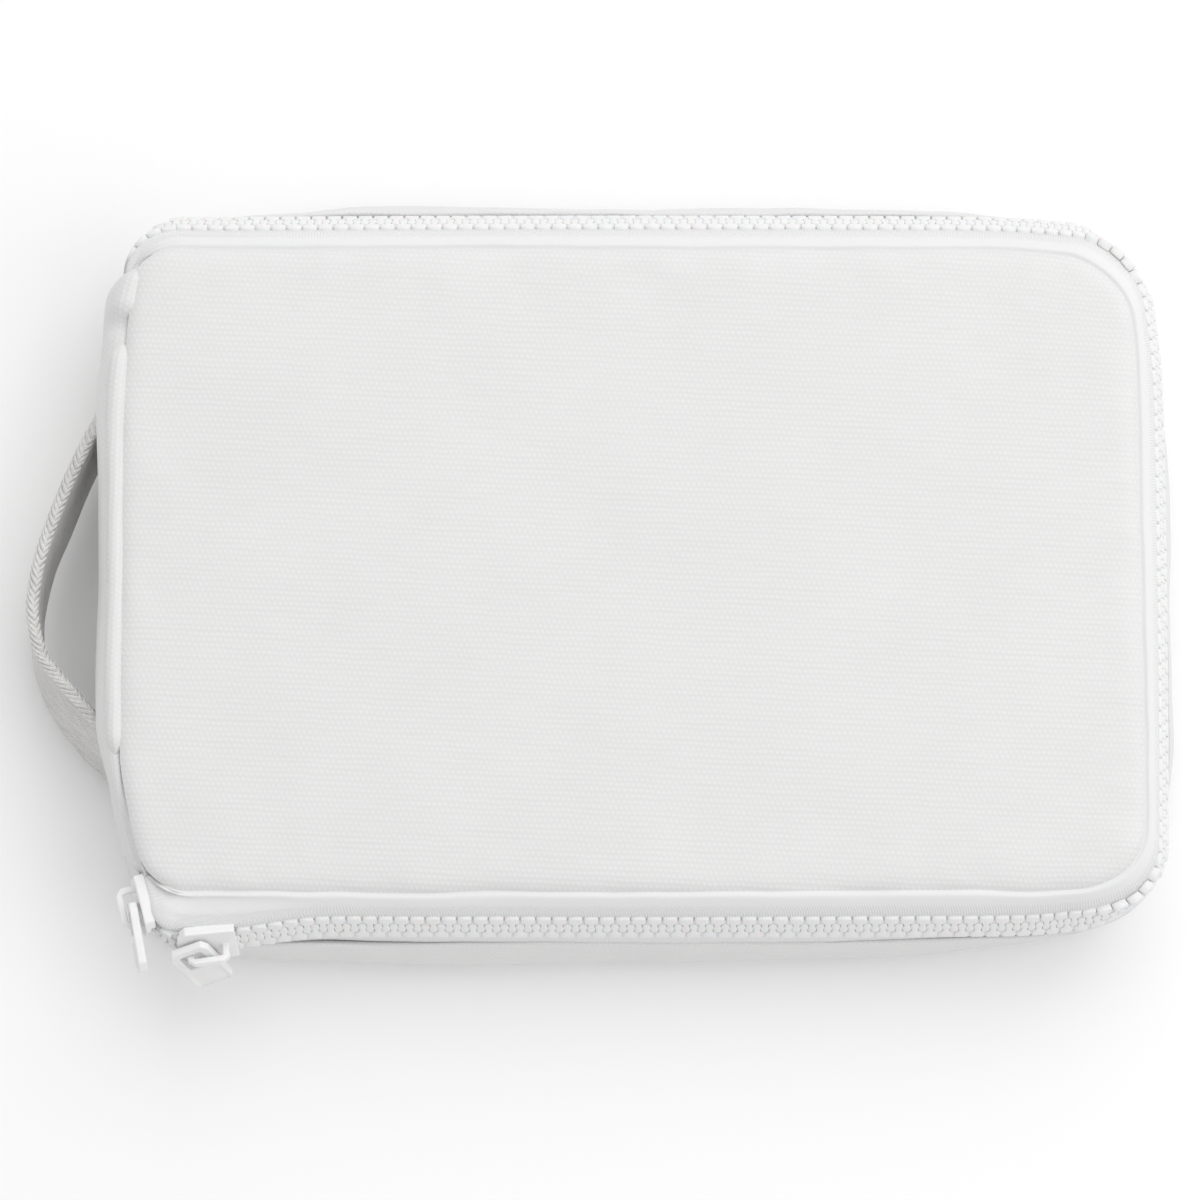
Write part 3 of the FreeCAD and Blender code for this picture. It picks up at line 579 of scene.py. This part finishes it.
def sheet_object(name, rail, height, columns, lines, shift=None):
    """A sheet that fills a rail, with height(x, y, edge distance) as its level and its weave along X."""
    rows = []
    for t in crowded(columns):
        row = []
        for s in crowded(lines):
            y = -rail.half + 2 * rail.half * s
            x0, x1 = row_ends(y, rail)
            x = x0 + (x1 - x0) * t
            inside = max(edge_distance(x, y, rail), 0.0)
            point = Vector((x, y, height(x, y, inside)))
            if shift:
                point += shift(point)
            row.append(point)
        rows.append(row)
    obj = grid_object(name, rows)
    layer = obj.data.uv_layers[0]
    for loop in obj.data.loops:
        where = obj.data.vertices[loop.vertex_index].co
        layer.data[loop.index].uv = (where.x, where.y)
    return obj


def strip_object(name, controls, across, spacing=1.1 * MM):
    """A band of cloth through rails, from the first control to the last, each with its share of wandering."""
    rows = []
    for station in even_stations(spacing):
        points = []
        for rail, share in controls:
            point = rail.at(station)[0] if isinstance(rail, Rail) else rail(station)
            points.append(point + wander(point) * share)
        rows.append(smooth_rail_points(points, across))
    return grid_object(name, rows)


def cord_rail(way):
    """The line of the corded edge of one tape, +1 in front of the chain and -1 behind it."""
    def at(station):
        point, out = CHAIN.at(station)
        return point + chain_axes(out)[1] * CORD_OFFSET * way
    return at


# ---------------------------------------------------------------- front cover
def cover_height(x, y, inside):
    """The padded cover: it rolls up from its seam, then swells a little towards the middle."""
    roll = 1 - math.exp(-inside / (1.3 * MM))
    swell = 1 - math.exp(-inside / (16 * MM))
    flat = Vector((x, y, 0))
    uneven = sway(flat, 0.5 * MM, 55 * MM, 1.0).z + sway(flat, 0.22 * MM, 17 * MM, 5.0).z
    pucker = sway(flat, 0.55 * MM, 7.5 * MM, 2.0).z * math.exp(-inside / (5 * MM))
    padding = COVER_TOP - SEAM.level - 0.5 * MM
    return SEAM.level + padding * roll + 0.8 * MM * swell + (uneven + pucker) * roll


def front_cover():
    def shift(point):
        near = math.exp(-max(edge_distance(point.x, point.y, SEAM), 0) / (14 * MM))
        return bow(point) + wander(point) * near

    cloth = sheet_object("front_cover_cloth", SEAM, cover_height, 230, 160, shift)
    settle(cloth)
    dress(cloth, CANVAS, "front_half", ("front_panel", "front_padding"))


def front_tape():
    """The tape folds up out of its seam with the cover, then slopes down to its cord."""
    def sewn(rail, share):
        def at(station):
            tucked = 1.4 * MM * (1 - smooth_step(station, 0.0, 0.6) + smooth_step(station, 6.8, 7.8))
            if station < 1:
                station = 0.25 + 0.75 * station
            elif station > 6:
                station = 6 + 0.35 * (station - 6)
            point = rail.at(station)[0]
            return point + bow(point) + wander(point) * share - Vector((0, 0, tucked))
        return at

    fold = Rail(92.6 * MM, 92.9 * MM, 60.2 * MM, 29.8 * MM, 7.5 * MM, 12.6 * MM, 0.15 * MM, tight=False)
    tape = strip_object("front_tape_cloth", [
        (sewn(SEAM.moved(-0.9 * MM, -0.1 * MM), 1.0), 0.0),
        (sewn(SEAM.moved(0.1 * MM, 0.15 * MM), 1.0), 0.0),
        (sewn(SEAM.moved(0.8 * MM, 0.45 * MM), 0.9), 0.0),
        (sewn(fold, 0.6), 0.0),
        (Rail(91.9 * MM, 93.9 * MM, 61.5 * MM, 28.5 * MM, 8.4 * MM, 13.2 * MM, 0.25 * MM), 0.35),
        (Rail(91.8 * MM, 94.5 * MM, 62.5 * MM, 27.0 * MM, 8.8 * MM, 13.6 * MM, 0.3 * MM), 0.15),
        (cord_rail(1), 0.0),
    ], 25)
    settle(tape)
    # slider A holds the tape up at the near spine corner
    slider_corner = Vector((-85.3 * MM, -62.6 * MM))
    lift, lift_spread = 1.0 * MM, 3.5 * MM
    for vertex in tape.data.vertices:
        apart = (vertex.co.xy - slider_corner).length
        vertex.co.z += lift * math.exp(-(apart / lift_spread)**2)
    thicken(tape, 0.5 * MM)
    dress(tape, TAPE, "front_half", ("front_zip_tape",))


# ---------------------------------------------------------------- back half
class Flare(Rail):
    """A rail of the side wall: flat-topped bulges along the sides, with less of one at the near open end."""

    fullness = 5.0
    dip = 1.2 * MM

    def at(self, station):
        point, out = Rail.at(self, station)
        slack = 0.35 * (6 - station) if 5 <= station < 6 else 0.0
        rest = Rail(self.left, self.right, self.half, self.level, self.r_spine, self.r_open, 0.0, self.tight)
        straight, _ = rest.at(station)
        return straight + (point - straight) * (1 - slack), out


def back_tape():
    low = Rail(91.4 * MM, 95.3 * MM, 65.2 * MM, 20.2 * MM, 9.5 * MM, 14 * MM, 1.0 * MM)
    seam = Rail(91.4 * MM, 95.1 * MM, 65.4 * MM, 18.4 * MM, 9.5 * MM, 14 * MM, 1.7 * MM)
    under = seam.moved(-0.5 * MM, -1.2 * MM)
    tape = strip_object("back_tape_cloth", [(cord_rail(-1), 0.0), (low, 0.3), (seam, 0.7), (under, 0.7)], 11)
    settle(tape)
    thicken(tape, 0.5 * MM)
    dress(tape, TAPE, "back_half", ("back_zip_tape",))


# the side wall's rails from the tape down: half width, right reach, level, bulge, wandering
WALL_STEPS = (
    (64.9, 94.7, 17.5, 1.7, 0.7), (65.5, 95.1, 18.5, 1.9, 0.8), (65.9, 95.1, 17.9, 2.2, 0.9),
    (65.8, 94.8, 15.8, 2.9, 1.0), (65.6, 94.3, 11.5, 4.4, 1.2), (65.6, 94.0, 7.5, 5.3, 1.2),
    (65.5, 93.8, 4.3, 5.0, 1.0), (65.2, 93.6, 1.7, 3.6, 0.8), (64.7, 93.2, 0.4, 1.6, 0.4),
    (63.6, 92.4, 0.1, 0.6, 0.0),
)


def side_wall():
    """The canvas wall: a turned seam under the tape, a long flare, and a soft turn under the back."""
    controls = []
    for half, right, level, bulge, roam in WALL_STEPS:
        left = 92.2 + 0.5 * smooth_step(level, 0, 4)
        rail = Flare(left * MM, right * MM, half * MM, level * MM, 10 * MM, 15 * MM, bulge * MM)
        controls.append((rail, roam))
    wall = strip_object("side_wall_cloth", controls, 44)
    for vertex in wall.data.vertices:
        share = math.sin(min(max(vertex.co.z / (17 * MM), 0), 1) * math.pi)
        vertex.co += sway(vertex.co.copy(), 0.8 * MM, 24 * MM, 6.0) * share
        if vertex.co.y < 0:
            foot = 1 - smooth_step(vertex.co.z, 2 * MM, 17 * MM)
            vertex.co.x -= 3.4 * MM * foot * smooth_step(-vertex.co.x, 83 * MM, 89 * MM)
        vertex.co.z = max(vertex.co.z, 0.05 * MM)
    settle(wall)
    thicken(wall, 0.8 * MM)
    dress(wall, CANVAS, "back_half", ("side_gusset",))


def back_cover():
    rail = Rail(-BACK_LOW.x, 91.6 * MM, 63.2 * MM, 0.0, 8 * MM, 16 * MM)

    def height(x, y, inside):
        quilt = noise.noise(Vector((x, y, 0)) / (30 * MM))**2
        return 0.12 * MM + 0.25 * MM * (1 - math.exp(-inside / (6 * MM))) * quilt

    cloth = sheet_object("back_cover_cloth", rail, height, 150, 110)
    settle(cloth)
    cloth.data.flip_normals()
    dress(cloth, CANVAS, "back_half", ("back_panel", "back_padding"))


# ---------------------------------------------------------------- spine
SPINE_HEAD = 55.5 * MM
SPINE_TAIL = 55.2 * MM
SPINE_LINE = -SEAM.left


def spine_reach(y):
    """The share of its full reach that the spine's cloth has at y: fuller by the head, narrow at the tail."""
    full = 4.9 + 0.7 * math.exp(-((y - 30 * MM) / (11 * MM))**2) - 1.9 * smooth_step(-y, 27 * MM, 40 * MM)
    full += 0.9 * math.exp(-((y - 50 * MM) / (7 * MM))**2)
    end = SPINE_HEAD if y > 0 else SPINE_TAIL
    past = max(abs(y) - (end - 5 * MM), 0.0) / (5.2 * MM)
    return full / 4.9 * math.sqrt(max(1 - past * past, 0.0))


def spine_point(y, level, reach):
    """A point of the spine's cloth at a level, so far beyond the cover's edge."""
    upper = smooth_step(level, 2 * MM, 18 * MM)
    width = spine_reach(y) if reach > 0 else 1.0
    return Vector((SPINE_LINE + draw_in(y) * upper - reach * width, y, level))


def spine_strip(name, profile, across, low_end=-SPINE_TAIL, high_end=SPINE_HEAD, change=None):
    """A strip along the spine through (level, reach) controls in millimetres, which change may alter."""
    rows = []
    steps = 140
    for k in range(steps + 1):
        y = low_end + (high_end - low_end) * k / steps
        points = []
        for level, reach in profile:
            if change:
                level, reach = change(y, level, reach)
            point = spine_point(y, level * MM, reach * MM)
            points.append(point + sway(point, 0.35 * MM, 15 * MM, 4.0))
        rows.append(smooth_rail_points(points, across))
    return grid_object(name, rows)


def head_pillow(y, level, reach):
    """Near the head the top of the spine puffs up with a crease below it; at the tail it slumps."""
    top = smooth_step(level, 25, 29)
    puff = smooth_step(y, 45.5 * MM, 48.5 * MM) * (1 - smooth_step(y, 53 * MM, 55.5 * MM))
    crease = math.exp(-((y - 44.8 * MM) / (1.6 * MM))**2)
    outer = smooth_step(reach, -1.2, 0.9)
    slump = 2.2 * smooth_step(-y, 36 * MM, 50 * MM) * smooth_step(level, 16, 29) * outer
    return level + top * (1.5 * puff - 0.6 * crease * outer) - slump, reach - 0.5 * crease * top * outer


def roll_ends(y, level, reach):
    """The roll rises out of the crease at the head and dies away before the tail."""
    out = smooth_step(y, -38.5 * MM, -30 * MM) * (1 - smooth_step(y, 38 * MM, 46 * MM))
    return level - 4.5 * (1 - out) * smooth_step(level, 27, 31), 0.3 + (reach - 0.3) * (0.35 + 0.65 * out)


def spine():
    middle = spine_strip("spine_cloth", [
        (27.6, -2.6), (28.6, -1.2), (29.3, -0.2), (29.5, 0.9), (28.9, 2.3), (27.2, 3.7), (24.5, 4.7),
        (20.5, 5.0), (15.0, 4.5), (9.0, 3.2), (5.0, 1.9), (3.2, 1.0),
    ], 40, change=head_pillow)
    thicken(middle, 0.8 * MM)
    dress(middle, CANVAS, "spine", ("spine_panel", "spine_padding"))

    front_roll = spine_strip("spine_front_roll", [
        (29.0, -0.7), (30.4, -0.4), (31.15, 0.5), (31.2, 1.3), (30.6, 2.2), (29.5, 2.6), (28.5, 2.3),
        (28.2, 1.7),
    ], 26, -39 * MM, 46.5 * MM, roll_ends)
    thicken(front_roll, 0.8 * MM)
    dress(front_roll, CANVAS)
    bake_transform(front_roll)

    back_roll = spine_strip("spine_back_roll", [
        (3.9, 1.3), (2.4, 0.7), (1.1, 0.1), (0.35, -0.9), (0.15, -2.4),
    ], 14)
    thicken(back_roll, 0.8 * MM)
    dress(back_roll, CANVAS)
    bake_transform(back_roll)

    half_steps = 40
    rows = []
    for k in range(2 * half_steps + 1):
        y = (k / half_steps - 1) * 54.0 * MM
        controls = []
        for z, x in ((2.4, 91.9), (8, 91.6), (16, 91.7), (24, 91.5), (29.4, 90.9)):
            inwards = draw_in(y) * smooth_step(z, 2, 18)
            controls.append(Vector((-x * MM + inwards, y, z * MM)))
        rows.append([p + sway(p, 0.2 * MM, 12 * MM, 7.0) for p in smooth_rail_points(controls, 12)])
    dress(grid_object("spine_lining_cloth", rows), LINING, "spine", ("spine_lining",))


# ---------------------------------------------------------------- linings and pockets
def linings():
    """Each lining lies on its cover and turns towards it round the edge, where it is sewn in."""
    front_low, _ = node_box("front_lining")
    _, back_high = node_box("back_lining")
    back_rail = Rail(90.5 * MM, 92.6 * MM, 63.8 * MM, 0, 9 * MM, 15 * MM)
    sides = (
        ("front", 1, front_low.z, SEAM.moved(-2.0 * MM, 0), SEAM.level - front_low.z - 0.6 * MM),
        ("back", -1, back_high.z, back_rail, back_high.z - 2.2 * MM),
    )
    for side, away, level, rail, rise in sides:

        def height(x, y, inside):
            edge = math.exp(-inside / (2.2 * MM))
            quilt = sway(Vector((x, y, 0)), 0.25 * MM, 20 * MM, 9.0 * away).z * (1 - edge)
            return level + away * rise * edge + quilt * 0.5

        cloth = sheet_object(f"{side}_lining_cloth", rail, height, 120, 90, bow if side == "front" else None)
        if side == "front":
            cloth.data.flip_normals()
        settle(cloth)
        dress(cloth, LINING, f"{side}_half", (f"{side}_lining",))


def pockets():
    for side in ("front", "back"):
        low, high = node_box(f"{side}_pocket")
        columns, lines = 79, 69
        rows = []
        for k in range(columns + 1):
            row = []
            for m in range(lines + 1):
                x = low.x + (high.x - low.x) * k / columns
                y = low.y + (high.y - low.y) * m / lines
                level = (low.z + high.z) / 2 + sway(Vector((x, y, 0)), 0.12 * MM, 22 * MM, 11.0).z
                row.append(Vector((x, y, level)))
            rows.append(row)
        cloth = grid_object(f"{side}_pocket_cloth", rows)
        thicken(cloth, 0.4 * MM, 0.0)
        dress(cloth, LINING, f"{side}_half", (f"{side}_pocket",))


# ---------------------------------------------------------------- zip
STOP_LENGTH = 2.0 * MM
TOOTH_THICK = 1.6 * MM
SLIDER_A_AT = CHAIN_TOTAL - 5.6 * MM
SLIDER_HALF = 5.25 * MM
CORD_SIDES = 8


def tooth_mesh(way):
    """One moulded tooth: a block clamped over the cord, a neck, and a rounded head past the centre line."""
    shape = bmesh.new()
    half_outline = [
        (1.0, 3.05), (1.28, 2.8), (1.3, 1.7), (1.1, 1.35), (0.66, 1.15), (0.58, 0.5), (0.8, 0.1),
        (0.82, -0.45), (0.7, -0.95), (0.42, -1.25),
    ]
    outline = half_outline + [(-x, y) for x, y in reversed(half_outline)]
    ring = [shape.verts.new((x * MM, way * y * MM, -TOOTH_THICK / 2)) for x, y in outline]
    face = shape.faces.new(ring)
    raised = bmesh.ops.extrude_face_region(shape, geom=[face])["geom"]
    bmesh.ops.translate(shape, verts=[g for g in raised if isinstance(g, bmesh.types.BMVert)],
                        vec=(0, 0, TOOTH_THICK))
    bmesh.ops.recalc_face_normals(shape, faces=shape.faces)
    rims = [e for e in shape.edges if abs(e.verts[0].co.z - e.verts[1].co.z) < 0.01 * MM]
    bmesh.ops.bevel(shape, geom=rims, offset=0.3 * MM, segments=2, profile=0.6, affect="EDGES")
    points = [v.co.copy() for v in shape.verts]
    shape.verts.index_update()
    faces = [[v.index for v in f.verts] for f in shape.faces]
    shape.free()
    return points, faces


def hidden_in_slider(distance):
    """Slider A stays where it is; slider B travels, so the rows go on inside it."""
    return abs(distance - SLIDER_A_AT) < SLIDER_HALF - 0.4 * MM


def zip_teeth():
    for side, way in (("front", 1), ("back", -1)):
        points, faces = tooth_mesh(way)
        vertices, polygons = [], []
        distance = STOP_LENGTH + 1.5 * MM + (0 if way > 0 else TOOTH_PITCH / 2)
        while distance < CHAIN_TOTAL - STOP_LENGTH - 1.0 * MM:
            if not hidden_in_slider(distance):
                wobble = Matrix.Rotation(random.uniform(-0.03, 0.03), 4, "Y")
                place = chain_frame(distance) @ wobble
                start = len(vertices)
                vertices += [tuple(place @ p) for p in points]
                polygons += [[start + k for k in f] for f in faces]
            distance += TOOTH_PITCH
        mesh = bpy.data.meshes.new(f"{side}_teeth_row")
        mesh.from_pydata(vertices, [], polygons)
        mesh.polygons.foreach_set("use_smooth", [True] * len(mesh.polygons))
        row = added(f"{side}_teeth_row", mesh)
        settle(row)
        dress(row, TEETH, f"{side}_half", (f"{side}_zip_teeth",))


def cords():
    """The corded edge of each tape, which the teeth are moulded over."""
    for side, way in (("front", 1), ("back", -1)):
        rail = cord_rail(way)
        up = Vector((0, 0, 1))
        rows = []
        for station in even_stations(1.2 * MM):
            centre = rail(station)
            _, out = CHAIN.at(station)
            ring = []
            for k in range(CORD_SIDES + 1):
                angle = 2 * math.pi * k / CORD_SIDES
                ring.append(centre + (out * math.cos(angle) + up * math.sin(angle)) * 0.62 * MM)
            rows.append(ring)
        cord = grid_object(f"{side}_cord", rows)
        settle(cord)
        dress(cord, TAPE, f"{side}_half")


def refined(node, material, body, bevel, segments=3):
    """A CAD piece with its edges rounded as moulding or handling leaves them."""
    mesh = own_copy(node, f"{node}_rounded")
    shape = bmesh.new()
    shape.from_mesh(mesh)
    bmesh.ops.remove_doubles(shape, verts=shape.verts, dist=0.002 * MM)
    bmesh.ops.dissolve_limit(shape, angle_limit=math.radians(1), verts=shape.verts, edges=shape.edges)
    bmesh.ops.recalc_face_normals(shape, faces=shape.faces)
    shape.to_mesh(mesh)
    shape.free()
    obj = added(f"{node}_rounded", mesh)
    modifier = obj.modifiers.new("Edges", "BEVEL")
    modifier.width = bevel
    modifier.segments = segments
    modifier.limit_method = "ANGLE"
    modifier.angle_limit = math.radians(30)
    modifier.use_clamp_overlap = True
    modifier.harden_normals = True
    mesh.polygons.foreach_set("use_smooth", [True] * len(mesh.polygons))
    return dress(obj, material, body, (node,))


def moulded(node, body):
    """A CAD piece of the zip with the soft edges and corners of moulded plastic."""
    obj = added(f"{node}_moulded", own_copy(node, f"{node}_moulded"))
    grains = obj.modifiers.new("Grains", "REMESH")
    grains.mode = "VOXEL"
    grains.voxel_size = 0.14 * MM
    grains.use_smooth_shade = True
    worn = obj.modifiers.new("Worn", "SMOOTH")
    worn.factor = 0.5
    worn.iterations = 9
    return dress(obj, SLIDER, body, (node,))


def zip_hardware():
    moulded("slider_a", "back_half")
    moulded("slider_b", "slider_b_body")
    moulded("pull_a", "pull_a_body")
    moulded("pull_b", "pull_b_body")
    refined("front_zip_stop", TEETH, "front_half", 0.4 * MM)
    refined("back_zip_stop", TEETH, "back_half", 0.4 * MM)


# ---------------------------------------------------------------- handle
STRAP_MIDDLE = (STRAP_LOW.z + STRAP_HIGH.z) / 2
STRAP_WIDTH = STRAP_HIGH.z - STRAP_LOW.z
STRAP_THICK = 2.3 * MM


def strap_path(count):
    """Places along the strap's middle line, with its lean as their third value.

    The strap is sewn flat at both ends and bows out between them. Its controls are the distance out from the
    middle of the case, the place from head to tail, and the lean in degrees.
    """
    controls = [
        (96.4, 42.5, 0), (96.7, 37.5, 0), (97.0, 32.5, 0), (97.8, 28.6, -1), (99.9, 24.6, -2),
        (103.2, 17.3, -2), (106.2, 9.6, -2), (108.8, 2.4, 0), (110.2, -5.0, 2), (110.2, -9.5, 4),
        (109.0, -16.0, 9), (104.8, -23.0, 17), (99.4, -29.8, 18), (95.8, -35.0, 10), (94.0, -39.5, 3),
        (92.8, -43.0, 0),
    ]
    places = [Vector((-x * MM, y * MM, math.radians(lean))) for x, y, lean in controls]
    return smooth_rail_points(places, count)


def strap_ring(place, ahead):
    """The strap's cross-section: a flat band with rounded edges."""
    along = Vector((ahead.x - place.x, ahead.y - place.y, 0)).normalized()
    out = along.cross(Vector((0, 0, 1)))
    lean = place.z
    width_way = Vector((0, 0, 1)) * math.cos(lean) - out * math.sin(lean)
    thick_way = along.cross(width_way)
    centre = Vector((place.x, place.y, STRAP_MIDDLE))
    half_w, half_t = STRAP_WIDTH / 2, STRAP_THICK / 2
    section = []
    flats = 14
    for side in (1, -1):
        for k in range(flats + 1):
            w = side * half_w * (1 - 2 * k / flats) * 0.93
            section.append((w, side * half_t))
        section.append((-side * half_w, side * half_t * 0.55))
        section.append((-side * half_w, -side * half_t * 0.55))
    section.append(section[0])
    return [centre + width_way * w + thick_way * t for w, t in section]


def handle():
    path = strap_path(110)
    rows = [strap_ring(a, b) for a, b in zip(path[:-1], path[1:])]
    strap = grid_object("handle_webbing", rows)
    dress(strap, WEBBING, None, ("handle_strap", "handle_ends"))
    sewn, free = (-98.4 * MM, 0, STRAP_MIDDLE), (-103.5 * MM, 0, STRAP_MIDDLE)
    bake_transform(strap)
    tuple(sewn)
    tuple(free)


def bar_tacks():
    """Rows of close stitches across the sewn ends of the strap."""
    shape = bmesh.new()
    stitches = 34
    for y_middle in (33.2, -40.5):
        for k in range(stitches):
            level = STRAP_MIDDLE + (k / (stitches - 1) - 0.5) * (STRAP_WIDTH - 3 * MM)
            near = min(strap_path(110), key=lambda p: abs(p.y - y_middle * MM))
            place = Matrix.Translation((near.x - STRAP_THICK / 2 - 0.05 * MM, near.y, level))
            tilt = Matrix.Rotation(math.radians(90 + (8 if k % 2 else -8)), 4, "X")
            bmesh.ops.create_cone(shape, cap_ends=True, segments=8, radius1=0.26 * MM, radius2=0.26 * MM,
                                  depth=1.9 * MM, matrix=place @ tilt)
    mesh = bpy.data.meshes.new("handle_stitches")
    shape.to_mesh(mesh)
    shape.free()
    mesh.polygons.foreach_set("use_smooth", [True] * len(mesh.polygons))
    tacks = added("handle_stitches", mesh)
    dress(tacks, THREAD, "spine", ("handle_bar_tacks",))


# ---------------------------------------------------------------- book
def book():
    refined("book_front_board", BOOK_CLOTH, "front_half", 0.5 * MM)
    refined("book_back_board", BOOK_CLOTH, "back_half", 0.5 * MM)
    refined("book_spine", BOOK_CLOTH, "spine", 0.7 * MM)
    refined("front_endpaper", ENDPAPER, "front_half", 0.05 * MM, 1)
    refined("back_endpaper", ENDPAPER, "back_half", 0.05 * MM, 1)
    refined("lower_leaves", LEAVES, "back_half", 0.15 * MM)
    refined("upper_leaves", LEAVES, "back_half", 0.15 * MM)
    refined("headband", HEADBAND, "back_half", 0.5 * MM)
    refined("tailband", HEADBAND, "back_half", 0.5 * MM)


def ribbon():
    """The marker lies between the leaves and curls over their tail edge."""
    low, high = node_box("ribbon_marker")
    middle = (low.x + high.x) / 2
    steps = 59
    rows = []
    for k in range(steps + 1):
        t = k / steps
        y = high.y + (low.y - 1.2 * MM - high.y) * t
        drop = max((low.y + 0.4 * MM - y) / (1.6 * MM), 0) ** 1.5
        level = (low.z + high.z) / 2 - drop * 3.0 * MM
        row = [Vector((middle + (s - 0.5) * (high.x - low.x), y, level)) for s in (0, 0.25, 0.5, 0.75, 1)]
        rows.append(row)
    strip = grid_object("ribbon_silk", rows)
    thicken(strip, 0.2 * MM, 0.0)
    dress(strip, RIBBON, "back_half", ("ribbon_marker",))


# ---------------------------------------------------------------- studio
def floor():
    bpy.ops.mesh.primitive_plane_add(size=4.0, location=(0, 0, -0.2 * MM))
    plane = bpy.context.object
    plane.name = "studio_floor"
    plane.data.materials.append(floor_material())


def area_light(name, place, size, power):
    """A square soft light that points at the middle of the case."""
    data = bpy.data.lights.new(name, "AREA")
    data.size = size
    data.energy = power
    lamp = added(name, data)
    lamp.location = place
    lamp.rotation_euler = (-Vector(place)).to_track_quat("-Z", "Y").to_euler()


def studio():
    floor()
    area_light("key", (0.25, 0.75, 1.1), 1.4, 8.5)
    area_light("fill", (0.9, -0.3, 0.9), 1.1, 3.5)
    world = bpy.data.worlds.new("studio")
    bpy.context.scene.world = world
    world.use_nodes = True
    sky = world.node_tree.nodes["Background"]
    sky.inputs["Color"].default_value = (1, 1, 1, 1)
    sky.inputs["Strength"].default_value = 0.68
    bpy.context.scene.view_settings.view_transform = "Standard"


def camera():
    """Nearly overhead, leaning a little towards the near side, with a long lens."""
    data = bpy.data.cameras.new("camera")
    data.sensor_width = 36
    data.lens = 144.5
    obj = added("camera", data)
    target = Vector((-6.4 * MM, -5.1 * MM, CHAIN_LEVEL))
    distance = 876 * MM
    lean = math.radians(6.5)
    away = Vector((0, -math.sin(lean), math.cos(lean)))
    obj.location = target + away * distance
    obj.rotation_euler = (lean, 0, 0)
    bpy.context.scene.camera = obj


front_cover()
front_tape()
back_tape()
side_wall()
back_cover()
spine()
linings()
pockets()
zip_teeth()
cords()
zip_hardware()
handle()
bar_tacks()
book()
ribbon()
studio()
camera()
